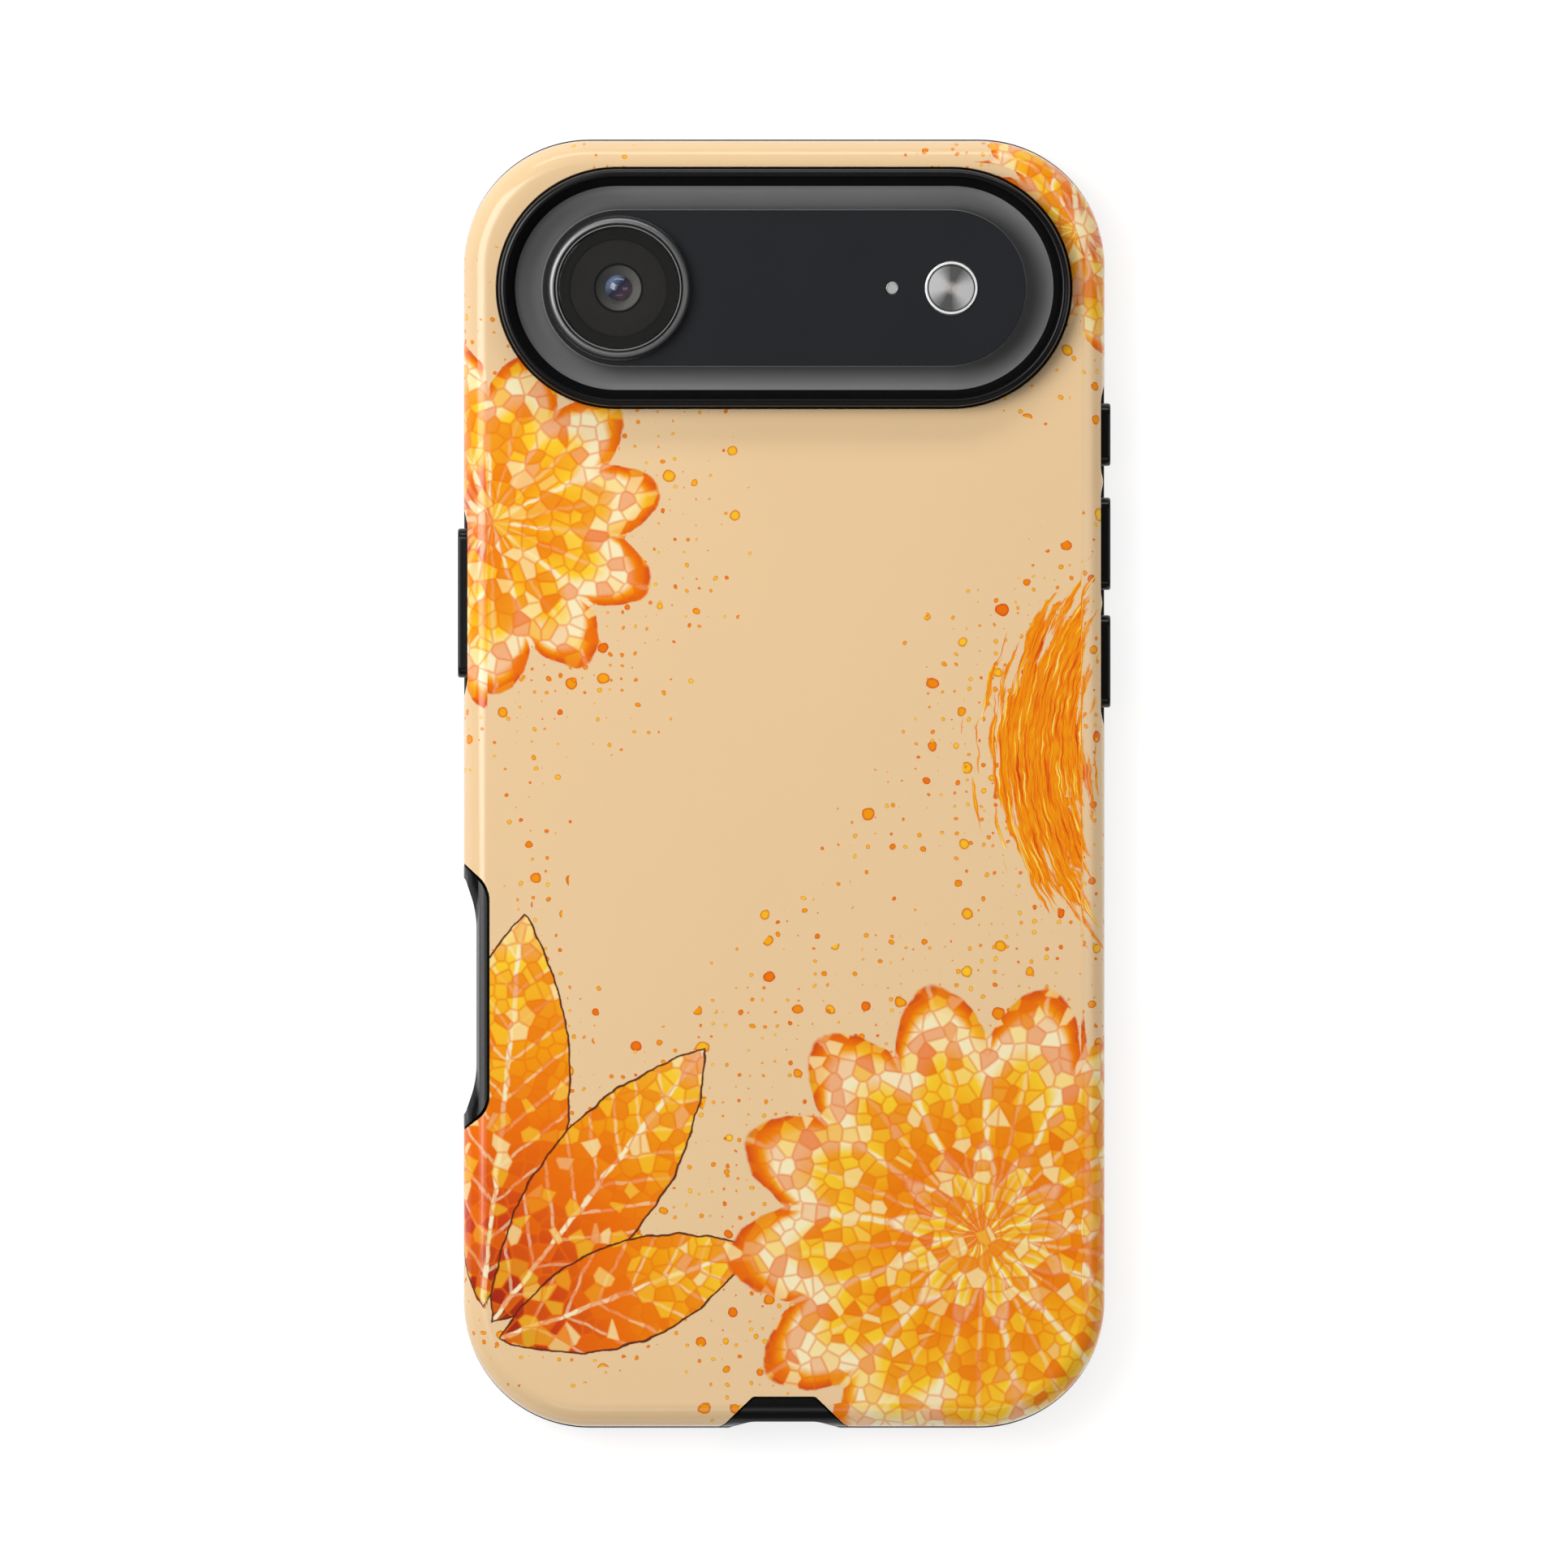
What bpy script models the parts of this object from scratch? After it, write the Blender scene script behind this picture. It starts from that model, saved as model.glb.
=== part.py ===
"""Smartphone in a two-layer protective case, lying on its screen with the back up.

X runs across the phone, Y along it (camera end at +Y) and Z up out of the back.
The front lip of the soft liner rests on z = 0. Units are metres.
"""

from math import cos, pi, radians, sin

import bmesh
import bpy

MM = 0.001

# Clearances between neighbouring pieces, and how far cutters run past a face
FIT = 0.3 * MM
FINE_FIT = 0.15 * MM
SEAT_FIT = 0.2 * MM
OVERCUT = 1.0 * MM

# Phone
PHONE_WIDTH = 74.7 * MM
PHONE_LENGTH = 156.2 * MM
PHONE_THICKNESS = 5.64 * MM
PHONE_THICKNESS_AT_LENS = 11.3 * MM
SCREEN_FACE_Z = 1.1 * MM
PHONE_BACK_Z = SCREEN_FACE_Z + PHONE_THICKNESS
PHONE_MID_Z = SCREEN_FACE_Z + PHONE_THICKNESS / 2
PANEL_INSET = 1.2 * MM
PANEL_THICKNESS = 0.7 * MM
FRAME_SETBACK = 0.1 * MM
FRAME_ROUND = 0.9 * MM

# Case: hard shell outside, soft liner inside with a flange below the shell's foot
SHELL_WIDTH = 80.7 * MM
SHELL_LENGTH = 161.9 * MM
SHELL_CORNER = 15.8 * MM
SHELL_WALL = 1.35 * MM
SHELL_FOOT_Z = 1.5 * MM
SHELL_BACK_Z = 9.74 * MM
SHELL_BACK_THICKNESS = 1.4 * MM
SHELL_FILLET = 3.0 * MM
LINER_WIDTH = SHELL_WIDTH - 2 * (SHELL_WALL + FIT)
LINER_LENGTH = SHELL_LENGTH - 2 * (SHELL_WALL + FIT)
LINER_CORNER = SHELL_CORNER - SHELL_WALL - FIT
LINER_FOOT_Z = 0.6 * MM
LINER_BACK_Z = SHELL_BACK_Z - SHELL_BACK_THICKNESS - FIT
LINER_FILLET = 1.4 * MM
FLANGE_WIDTH = 80.6 * MM
FLANGE_LENGTH = 162.24 * MM
FLANGE_TOP_Z = SHELL_FOOT_Z - FIT
FLANGE_ROUND = 0.35 * MM
LIP_THICKNESS = SCREEN_FACE_Z - FIT
LIP_OVERLAP = 1.25 * MM
PHONE_CORNER = SHELL_CORNER - (SHELL_WIDTH - PHONE_WIDTH) / 2

# Camera opening, its raised rim and the plateau of the phone's back
CAMERA_Y = 62.43 * MM
OPENING_LENGTH = 72.57 * MM
OPENING_WIDTH = 30.46 * MM
RIM_TOP_Z = 12.9 * MM
RIM_ROUND = 0.6 * MM
RIM_ROOT = 0.5 * MM
RIM_INNER_ROUND = 0.36 * MM
RIM_CREST_INSET = 1.35 * MM
RIM_FOOT_INSET = 2.38 * MM
SHOULDER_LENGTH = 67.3 * MM
SHOULDER_WIDTH = 24.9 * MM
SHOULDER_FOOT = 0.05 * MM
PLATE_LENGTH = 60.9 * MM
PLATE_WIDTH = 19.6 * MM
PLATE_RISE = 3.7 * MM
PLATE_TOP_Z = PHONE_BACK_Z + PLATE_RISE
PLATE_THICKNESS = 0.49 * MM
PLATE_EDGE = 0.1 * MM
SEAT_Z = PLATE_TOP_Z - PLATE_THICKNESS
DECK_Z = SEAT_Z - SEAT_FIT

# Lens, on the camera plate's long axis. Drops are heights below the lens's top.
LENS_X = -20.87 * MM
LENS_RADIUS = 9.0 * MM
LENS_TOP_Z = SCREEN_FACE_Z + PHONE_THICKNESS_AT_LENS
LENS_BAND = 0.9 * MM
LENS_BEVEL = 0.4 * MM
LENS_GAP = 0.1 * MM
LENS_LIP = 0.12 * MM
LENS_LIP_DROP = 0.15 * MM
INNER_RING_RADIUS = 7.95 * MM
INNER_RING_BAND = 0.23 * MM
INNER_RING_DROP = 0.2 * MM
GLASS_RADIUS = INNER_RING_RADIUS - INNER_RING_BAND - LENS_GAP
GLASS_RIM = 0.3 * MM
GLASS_CROWN_DROP = 0.25 * MM
GLASS_RIM_DROP = 0.3 * MM
GLASS_EDGE_DROP = 0.45 * MM
GLASS_LOW_Z = LENS_TOP_Z - 0.9 * MM

# Barrel under the glass: a step, then a funnel down to the front element in its well
BARREL_TOP_Z = GLASS_LOW_Z - LENS_GAP
BARREL_STEP_RADIUS = 6.1 * MM
BARREL_STEP = 0.15 * MM
BARREL_STEP_RUN = 0.1 * MM
FUNNEL_RADIUS = 3.0 * MM
FUNNEL_LIP = 0.2 * MM
WELL_Z = SEAT_Z + 0.15 * MM
ELEMENT_RADIUS = 1.65 * MM
ELEMENT_TOP_Z = BARREL_TOP_Z - 0.25 * MM

# Flash and microphone, on the same axis. Rises are heights above the camera plate.
FLASH_X = 21.04 * MM
FLASH_RADIUS = 3.32 * MM
FLASH_BAND = 0.3 * MM
FLASH_RISE = 0.25 * MM
FLASH_BEVEL = 0.08 * MM
FLASH_LENS_CROWN = 0.12 * MM
FLASH_LENS_RIM = 0.15 * MM
FLASH_LENS_RIM_RISE = 0.05 * MM
MIC_X = 13.6 * MM
MIC_RADIUS = 0.75 * MM
MIC_DISC_RADIUS = 0.61 * MM
MIC_CREST_RADIUS = 0.65 * MM
MIC_CREST_RISE = 0.1 * MM
MIC_EDGE_RISE = 0.05 * MM

# Button covers: side (-1 left, +1 right), middle in Y, length
BUTTONS = {
    "action": (-1, 22.74 * MM, 18.8 * MM),
    "power": (1, 43.95 * MM, 7.9 * MM),
    "volume_up": (1, 30.2 * MM, 11.65 * MM),
    "volume_down": (1, 15.4 * MM, 11.65 * MM),
}
BUTTON_REACH = 41.1 * MM
BUTTON_ROOT = LINER_WIDTH / 2 - 0.4 * MM
BUTTON_HEIGHT = 2.8 * MM
BUTTON_ROUND = 0.3 * MM
WINDOW_CLEARANCE = 0.4 * MM
SCOOP_DEPTH = 0.46 * MM
SCOOP_MARGIN = 0.5 * MM
SCOOP_RAMP = 2.1 * MM
SCOOP_REACH = 0.5 * MM

# Side control on the left: length along the side and height of its slot and its bar
CONTROL_Y = -26.95 * MM
CONTROL_SLOT = (18.6 * MM, 4.8 * MM)
CONTROL_BAR = (14.6 * MM, 2.4 * MM)

# Hollows of the left side there: the shell's notch, the dish in the liner's pad and the
# ridge above the dish. A mouth is where a hollow meets the side and a floor is its flat
# middle: X, both ends in Y, and the reach of the rounded corners.
NOTCH_MOUTH = (-40.5 * MM, -9.85 * MM, -43.75 * MM, 0.5 * MM)
NOTCH_FLOOR = (-37.1 * MM, -13.0 * MM, -41.15 * MM, 1.6 * MM)
DISH_MOUTH = (-40.35 * MM, -11.4 * MM, -42.1 * MM, 1.0 * MM)
DISH_FLOOR = (-38.76 * MM, -16.2 * MM, -37.4 * MM, 1.8 * MM)
RIDGE_MOUTH = (-40.2 * MM, -10.2 * MM, -43.3 * MM, 1.0 * MM)
RIDGE_FLOOR = (-38.38 * MM, -13.4 * MM, -40.2 * MM, 1.2 * MM)
RIDGE_Z = SHELL_BACK_Z - 0.44 * MM
BEVEL_Z = RIDGE_Z - 1.3 * MM
PAD_DROP = 0.3 * MM

# Charging port at the bottom edge: the shell's notch and the dip in the liner, each with
# half lengths at its floor and its mouth, then the plug opening, the port and its tongue
PORT_NOTCH_Y = -77.2 * MM
PORT_NOTCH_HALF_FLOOR = 3.95 * MM
PORT_NOTCH_HALF_MOUTH = 7.9 * MM
PORT_NOTCH_FLOOR_REACH = 0.3 * MM
PORT_NOTCH_MOUTH_REACH = 0.8 * MM
PORT_DIP_Y = -80.37 * MM
PORT_DIP_HALF_FLOOR = 4.2 * MM
PORT_DIP_HALF_MOUTH = 7.4 * MM
PORT_DIP_FLOOR_REACH = 0.6 * MM
PORT_MOUTH_MARGIN = 0.1 * MM
PLUG_OPENING = (12.4 * MM, 5.0 * MM)
PORT = (8.9 * MM, 3.1 * MM)
PORT_DEPTH = 6.5 * MM
TONGUE = (6.4 * MM, 0.7 * MM)
TONGUE_ROUND = 0.2 * MM
TONGUE_SETBACK = 1.0 * MM

# Speaker slots in the case and rows of holes in the phone's bottom edge
SPEAKER_X = 17.0 * MM
SPEAKER_SLOT = (9.0 * MM, 2.2 * MM)
SPEAKER_HOLES = 4
SPEAKER_HOLE = 1.1 * MM
SPEAKER_HOLE_PITCH = 1.9 * MM
SPEAKER_HOLE_DEPTH = 1.0 * MM

# Smoothness of the faceted solids
CORNER_STEPS = 10
PILL_STEPS = 11
BAR_STEPS = 5
ROUND_STEPS = 40
SMALL_ROUND_STEPS = 24
FILLET_STEPS = 5
SMALL_STEPS = 3
SHOULDER_STEPS = 6
DOME_STEPS = 5
LARGE_ROUND = 1.0 * MM
SMOOTH_ANGLE = radians(35)
MERGE = 0.005 * MM

QUARTER_TURN = pi / 2
CAMERA_CENTRE = (0, CAMERA_Y, 0)

# Base colour, roughness and metallic value of each finish
FINISHES = {
    "printed_shell": ((0.86, 0.62, 0.40), 0.12, 0.0),
    "black_rubber": ((0.012, 0.012, 0.012), 0.45, 0.0),
    "frame_metal": ((0.20, 0.20, 0.21), 0.3, 1.0),
    "screen_glass": ((0.01, 0.01, 0.012), 0.05, 0.0),
    "grey_back": ((0.16, 0.16, 0.16), 0.35, 0.0),
    "plate_glass": ((0.02, 0.021, 0.024), 0.25, 0.0),
    "lens_metal": ((0.30, 0.30, 0.31), 0.25, 1.0),
    "lens_glass": ((0.03, 0.03, 0.03), 0.05, 0.0),
    "barrel_black": ((0.02, 0.02, 0.019), 0.5, 0.0),
    "element_coating": ((0.10, 0.13, 0.22), 0.05, 0.0),
    "bright_trim": ((0.85, 0.85, 0.85), 0.2, 1.0),
    "flash_silver": ((0.6, 0.6, 0.58), 0.3, 0.6),
    "control_black": ((0.03, 0.03, 0.032), 0.2, 0.0),
}


def clear_scene():
    for item in list(bpy.data.objects):
        bpy.data.objects.remove(item)


def make_material(name):
    colour, roughness, metallic = FINISHES[name]
    made = bpy.data.materials.new(name)
    made.use_nodes = True
    shader = made.node_tree.nodes["Principled BSDF"]
    shader.inputs["Base Color"].default_value = (*colour, 1.0)
    shader.inputs["Roughness"].default_value = roughness
    shader.inputs["Metallic"].default_value = metallic
    return made


def add_empty(name, location=(0, 0, 0), parent=None):
    made = bpy.data.objects.new(name, None)
    made.location = location
    made.parent = parent
    bpy.context.scene.collection.objects.link(made)
    return made


def add_object(name, bm, finish=None, location=(0, 0, 0), rotation=(0, 0, 0), parent=None):
    """Turn a bmesh into a placed object, shaded smooth but for its sharp edges."""
    bmesh.ops.remove_doubles(bm, verts=bm.verts, dist=MERGE)
    bmesh.ops.recalc_face_normals(bm, faces=bm.faces)
    mesh = bpy.data.meshes.new(name)
    bm.to_mesh(mesh)
    bm.free()
    mesh.shade_smooth()
    mesh.set_sharp_from_angle(angle=SMOOTH_ANGLE)
    if finish:
        mesh.materials.append(bpy.data.materials.get(finish) or make_material(finish))
    made = bpy.data.objects.new(name, mesh)
    made.location = location
    made.rotation_euler = rotation
    made.parent = parent
    bpy.context.scene.collection.objects.link(made)
    return made


def rectangle(length, width, radius):
    """Corners (x, y, reach) of a rounded rectangle; a large radius makes a pill."""
    half_x, half_y = length / 2, width / 2
    reach = min(radius, half_x, half_y)
    signs = ((-1, -1), (1, -1), (1, 1), (-1, 1))
    return [(sign_x * half_x, sign_y * half_y, reach) for sign_x, sign_y in signs]


def pill(length, width):
    return rectangle(length, width, width)


def level_face(bm, corners, z, steps):
    """One level face from corners (x, y, reach), each rounded over its reach."""
    known = set(bm.faces)
    verts = [bm.verts.new((x, y, z)) for x, y, reach in corners]
    bm.faces.new(verts)
    for reach in sorted({corner[2] for corner in corners if corner[2]}):
        bmesh.ops.bevel(
            bm,
            geom=[vert for vert, corner in zip(verts, corners) if corner[2] == reach],
            offset=reach,
            segments=steps,
            profile=0.5,
            affect="VERTICES",
        )
    level = [vert for vert in bm.verts if abs(vert.co.z - z) < MERGE]
    bmesh.ops.remove_doubles(bm, verts=level, dist=MERGE)
    return next(face for face in bm.faces if face not in known)


def round_cap(bm, cap, radius):
    steps = FILLET_STEPS if radius > LARGE_ROUND else SMALL_STEPS
    bmesh.ops.bevel(
        bm, geom=list(cap.edges), offset=radius, segments=steps, profile=0.5, affect="EDGES"
    )


def loft_mesh(sections, steps, top_round=0.0, foot_round=0.0):
    """Closed bmesh through level sections, each given as corners and height."""
    bm = bmesh.new()
    faces = []
    rings = []
    for corners, z in sections:
        faces.append(level_face(bm, corners, z, steps))
        rings.append(list(faces[-1].edges))
    bmesh.ops.delete(bm, geom=faces[1:-1], context="FACES_ONLY")
    for lower, upper in zip(rings, rings[1:]):
        bmesh.ops.bridge_loops(bm, edges=lower + upper)
    bmesh.ops.recalc_face_normals(bm, faces=bm.faces)
    for cap, radius in ((faces[-1], top_round), (faces[0], foot_round)):
        if radius:
            round_cap(bm, cap, radius)
    return bm


def loft(name, sections, steps=SMALL_STEPS, top_round=0.0, foot_round=0.0, **placing):
    return add_object(name, loft_mesh(sections, steps, top_round, foot_round), **placing)


def prism(name, corners, low, high, steps=SMALL_STEPS, **options):
    return loft(name, [(corners, low), (corners, high)], steps, **options)


def side_bar(name, size, reach, location, turn=0.0, radius=None, **options):
    """Bar that points out of a side from its location, as a cutter or a cover.

    Unturned, it points towards -Y. Its size is its length along the side and its height.
    """
    length, height = size
    plan = rectangle(length, height, radius or height)
    rotation = (QUARTER_TURN, 0, turn)
    return prism(
        name, plan, 0, reach, BAR_STEPS, location=location, rotation=rotation, **options
    )


def turned(name, profile, centre_x=0.0, steps=ROUND_STEPS, location=None, **options):
    """Solid of revolution about an upright axis; profile holds (radius, z)."""
    bm = bmesh.new()
    verts = [bm.verts.new((radius, 0, z)) for radius, z in profile]
    edges = [bm.edges.new(pair) for pair in zip(verts, verts[1:])]
    if profile[0][0] > 0:
        edges.append(bm.edges.new((verts[-1], verts[0])))
    bmesh.ops.spin(
        bm,
        geom=verts + edges,
        cent=(0, 0, 0),
        axis=(0, 0, 1),
        angle=2 * pi,
        steps=steps,
        use_merge=True,
    )
    return add_object(name, bm, location=location or (centre_x, 0, 0), **options)


def combine(target, operation, tools):
    """Boolean a set of hidden tools into the target."""
    group = bpy.data.collections.new(f"{target.name}_{operation.lower()}")
    bpy.context.scene.collection.children.link(group)
    for tool in tools:
        bpy.context.scene.collection.objects.unlink(tool)
        group.objects.link(tool)
        tool.hide_render = True
        tool.display_type = "WIRE"
    step = target.modifiers.new(operation.title(), "BOOLEAN")
    step.operation = operation
    step.operand_type = "COLLECTION"
    step.collection = group
    step.solver = "EXACT"
    return target


def mirrored(corners):
    """Plan corners completed with their mirror images across X."""
    return corners + [(-x, y, reach) for x, y, reach in reversed(corners)]


def scoop_cutter(side):
    """Full-height cutter that hollows the shell's side around its buttons."""
    edge = SHELL_WIDTH / 2
    outside = BUTTON_REACH + OVERCUT
    floor = edge - SCOOP_DEPTH
    runs = sorted(
        (y - length / 2 - SCOOP_MARGIN, y + length / 2 + SCOOP_MARGIN)
        for button_side, y, length in BUTTONS.values()
        if button_side == side
    )
    first, last = runs[0][0] - SCOOP_RAMP, runs[-1][1] + SCOOP_RAMP
    points = [(outside, first), (edge, first)]
    for (start, end), following in zip(runs, runs[1:] + [None]):
        points += [(floor, start), (floor, end)]
        if following:
            half_space = (following[0] - end) / 2
            peak = floor + SCOOP_DEPTH * min(1, half_space / SCOOP_RAMP)
            points.append((peak, end + half_space))
    points += [(edge, last), (outside, last)]
    corners = [(side * x, y, SCOOP_REACH if x < outside else 0) for x, y in points]
    return prism(f"scoop_{side}", corners, 0, SHELL_BACK_Z + OVERCUT)


def button_bars(prefix, growth, start, end, top_round=0.0):
    """One bar for each button cover, from start to end across the phone."""
    return [
        side_bar(
            f"{prefix}_{name}",
            (length + 2 * growth, BUTTON_HEIGHT + 2 * growth),
            end - start,
            (side * start, y, PHONE_MID_Z),
            side * QUARTER_TURN,
            top_round=top_round,
        )
        for name, (side, y, length) in BUTTONS.items()
    ]


def side_hollow(mouth, floor, gap=0.0):
    """Plan of a hollow in the left side, drawn in by a gap where it fills one."""
    outside = -BUTTON_REACH - OVERCUT
    mouth_x, mouth_start, mouth_end, mouth_reach = mouth
    floor_x, floor_start, floor_end, floor_reach = floor
    return [
        (outside, mouth_start - gap, 0),
        (mouth_x, mouth_start - gap, mouth_reach),
        (floor_x - gap, floor_start - gap, floor_reach),
        (floor_x - gap, floor_end + gap, floor_reach),
        (mouth_x, mouth_end + gap, mouth_reach),
        (outside, mouth_end + gap, 0),
    ]


def port_notch(gap=0.0):
    """Plan of the notch over the charging port, open past the bottom edge."""
    mouth_y = -SHELL_LENGTH / 2 - PORT_MOUTH_MARGIN
    half_floor = PORT_NOTCH_HALF_FLOOR - gap / 2
    half_mouth = PORT_NOTCH_HALF_MOUTH - gap / 2
    return mirrored(
        [
            (half_mouth + OVERCUT, mouth_y - OVERCUT, 0),
            (half_mouth + OVERCUT, mouth_y, 0),
            (half_mouth, mouth_y, PORT_NOTCH_MOUTH_REACH),
            (half_floor, PORT_NOTCH_Y - gap, PORT_NOTCH_FLOOR_REACH),
        ]
    )


def notch_pad(name, corners):
    """Rubber that fills a notch of the shell and follows the shell's rounded back edge."""
    pad = prism(f"{name}_pad", corners, LINER_FOOT_Z, SHELL_BACK_Z)
    envelope = prism(
        f"{name}_envelope",
        rectangle(SHELL_WIDTH, SHELL_LENGTH, SHELL_CORNER),
        0,
        SHELL_BACK_Z - PAD_DROP,
        CORNER_STEPS,
        top_round=SHELL_FILLET,
    )
    return combine(pad, "INTERSECT", [envelope])


def thumb_dish():
    """Cutter that dishes the side pad towards the control slot and bevels its top edge."""
    dish = side_hollow(DISH_MOUTH, DISH_FLOOR)
    ridge = side_hollow(RIDGE_MOUTH, RIDGE_FLOOR)
    sections = [(dish, -OVERCUT), (dish, BEVEL_Z), (ridge, RIDGE_Z), (ridge, RIDGE_Z + OVERCUT)]
    return loft("thumb_dish", sections)


def port_dip():
    mouth_y = -FLANGE_LENGTH / 2
    corners = mirrored(
        [
            (PORT_DIP_HALF_MOUTH, mouth_y - OVERCUT, 0),
            (PORT_DIP_HALF_MOUTH, mouth_y - PORT_MOUTH_MARGIN, 0),
            (PORT_DIP_HALF_FLOOR, PORT_DIP_Y, PORT_DIP_FLOOR_REACH),
        ]
    )
    return prism("port_dip", corners, -OVERCUT, SHELL_BACK_Z + OVERCUT)


def speaker_slots(prefix, size, start):
    reach = FLANGE_LENGTH / 2 + OVERCUT - start
    return [
        side_bar(
            f"{prefix}_speaker_{side}", size, reach, (side * SPEAKER_X, -start, PHONE_MID_Z)
        )
        for side in (-1, 1)
    ]


def outer_shell(case):
    shell = prism(
        "outer_shell",
        rectangle(SHELL_WIDTH, SHELL_LENGTH, SHELL_CORNER),
        SHELL_FOOT_Z,
        SHELL_BACK_Z,
        CORNER_STEPS,
        top_round=SHELL_FILLET,
        finish="printed_shell",
        parent=case,
    )
    inside = rectangle(
        SHELL_WIDTH - 2 * SHELL_WALL, SHELL_LENGTH - 2 * SHELL_WALL, SHELL_CORNER - SHELL_WALL
    )
    hollow = prism(
        "shell_hollow",
        inside,
        0,
        SHELL_BACK_Z - SHELL_BACK_THICKNESS,
        CORNER_STEPS,
        top_round=SHELL_FILLET - SHELL_WALL,
    )
    above = SHELL_BACK_Z + OVERCUT
    opening = prism(
        "camera_opening",
        pill(OPENING_LENGTH, OPENING_WIDTH),
        PHONE_MID_Z,
        above,
        PILL_STEPS,
        location=CAMERA_CENTRE,
    )
    cutters = [
        hollow,
        opening,
        prism("control_notch", side_hollow(NOTCH_MOUTH, NOTCH_FLOOR), 0, above),
        prism("port_notch", port_notch(), 0, above),
        scoop_cutter(-1),
        scoop_cutter(1),
    ]
    cutters += button_bars("window", WINDOW_CLEARANCE, LINER_WIDTH / 2, BUTTON_REACH + OVERCUT)
    cutters += speaker_slots("shell", SPEAKER_SLOT, LINER_LENGTH / 2)
    combine(shell, "DIFFERENCE", cutters)


def rim_section(inset, z):
    return pill(OPENING_LENGTH - 2 * inset, OPENING_WIDTH - 2 * inset), z


def rounded_steps(radius):
    """Inset and drop of each step of a quarter round."""
    angles = [QUARTER_TURN * step / SMALL_STEPS for step in range(SMALL_STEPS + 1)]
    return [(radius * (1 - cos(angle)), radius * (1 - sin(angle))) for angle in angles]


def camera_rim():
    sections = [rim_section(FIT, LINER_BACK_Z - RIM_ROOT)]
    for inset, drop in rounded_steps(RIM_ROUND):
        sections.append(rim_section(FIT + inset, RIM_TOP_Z - drop))
    return loft("camera_rim", sections, PILL_STEPS, location=CAMERA_CENTRE)


def rim_hole():
    """Tapered hole through the rim, flared at its crest."""
    foot = PHONE_BACK_Z + FIT
    sections = [rim_section(RIM_FOOT_INSET, foot - OVERCUT), rim_section(RIM_FOOT_INSET, foot)]
    for inset, drop in rounded_steps(RIM_INNER_ROUND):
        sections.append(rim_section(RIM_CREST_INSET - inset, RIM_TOP_Z - drop))
    crest = RIM_CREST_INSET - RIM_INNER_ROUND
    sections.append(rim_section(crest, RIM_TOP_Z + OVERCUT))
    return loft("rim_hole", sections, PILL_STEPS, location=CAMERA_CENTRE)


def liner_additions():
    """What stands out of the liner's plain body."""
    flange = prism(
        "flange",
        rectangle(FLANGE_WIDTH, FLANGE_LENGTH, SHELL_CORNER),
        0,
        FLANGE_TOP_Z,
        CORNER_STEPS,
        foot_round=FLANGE_ROUND,
    )
    additions = [
        flange,
        camera_rim(),
        notch_pad("control", side_hollow(NOTCH_MOUTH, NOTCH_FLOOR, FIT)),
        notch_pad("port", port_notch(FIT)),
    ]
    return additions + button_bars("cover", 0.0, BUTTON_ROOT, BUTTON_REACH, BUTTON_ROUND)


def liner_cutters():
    """The phone's room in the liner and the openings into it."""
    cavity = prism(
        "cavity",
        rectangle(PHONE_WIDTH + 2 * FIT, PHONE_LENGTH + 2 * FIT, PHONE_CORNER + FIT),
        LIP_THICKNESS,
        PHONE_BACK_Z + FIT,
        CORNER_STEPS,
        top_round=FRAME_ROUND,
    )
    window_plan = rectangle(
        PHONE_WIDTH - 2 * LIP_OVERLAP, PHONE_LENGTH - 2 * LIP_OVERLAP, PHONE_CORNER - LIP_OVERLAP
    )
    window = prism("front_window", window_plan, -OVERCUT, SCREEN_FACE_Z, CORNER_STEPS)
    control_slot = side_bar(
        "control_slot",
        CONTROL_SLOT,
        BUTTON_REACH + OVERCUT - PHONE_WIDTH / 2,
        (-PHONE_WIDTH / 2, CONTROL_Y, PHONE_MID_Z),
        -QUARTER_TURN,
    )
    plug_opening = side_bar(
        "plug_opening",
        PLUG_OPENING,
        FLANGE_LENGTH / 2 + OVERCUT - PHONE_LENGTH / 2,
        (0, -PHONE_LENGTH / 2, PHONE_MID_Z),
    )
    narrower = tuple(side - 2 * FIT for side in SPEAKER_SLOT)
    cutters = [cavity, window, rim_hole(), thumb_dish(), port_dip(), control_slot, plug_opening]
    return cutters + speaker_slots("liner", narrower, PHONE_LENGTH / 2)


def inner_liner(case):
    liner = prism(
        "inner_liner",
        rectangle(LINER_WIDTH, LINER_LENGTH, LINER_CORNER),
        LINER_FOOT_Z,
        LINER_BACK_Z,
        CORNER_STEPS,
        top_round=LINER_FILLET,
        finish="black_rubber",
        parent=case,
    )
    combine(liner, "UNION", liner_additions())
    combine(liner, "DIFFERENCE", liner_cutters())


def port_cutter():
    """Charging port with the tongue left standing in its middle."""
    floor_y = PORT_DEPTH - PHONE_LENGTH / 2
    port = side_bar("port", PORT, PORT_DEPTH + OVERCUT, (0, floor_y, PHONE_MID_Z))
    tongue = side_bar(
        "port_tongue",
        TONGUE,
        PORT_DEPTH + OVERCUT - TONGUE_SETBACK,
        (0, floor_y + OVERCUT, PHONE_MID_Z),
        radius=TONGUE_ROUND,
    )
    return combine(port, "DIFFERENCE", [tongue])


def speaker_holes(side):
    """Row of holes in the phone's bottom edge, inside the case's speaker slot."""
    return [
        side_bar(
            f"speaker_hole_{side}_{index}",
            (SPEAKER_HOLE, SPEAKER_HOLE),
            SPEAKER_HOLE_DEPTH + OVERCUT,
            (
                side * SPEAKER_X + (index - (SPEAKER_HOLES - 1) / 2) * SPEAKER_HOLE_PITCH,
                SPEAKER_HOLE_DEPTH - PHONE_LENGTH / 2,
                PHONE_MID_Z,
            ),
        )
        for index in range(SPEAKER_HOLES)
    ]


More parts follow.
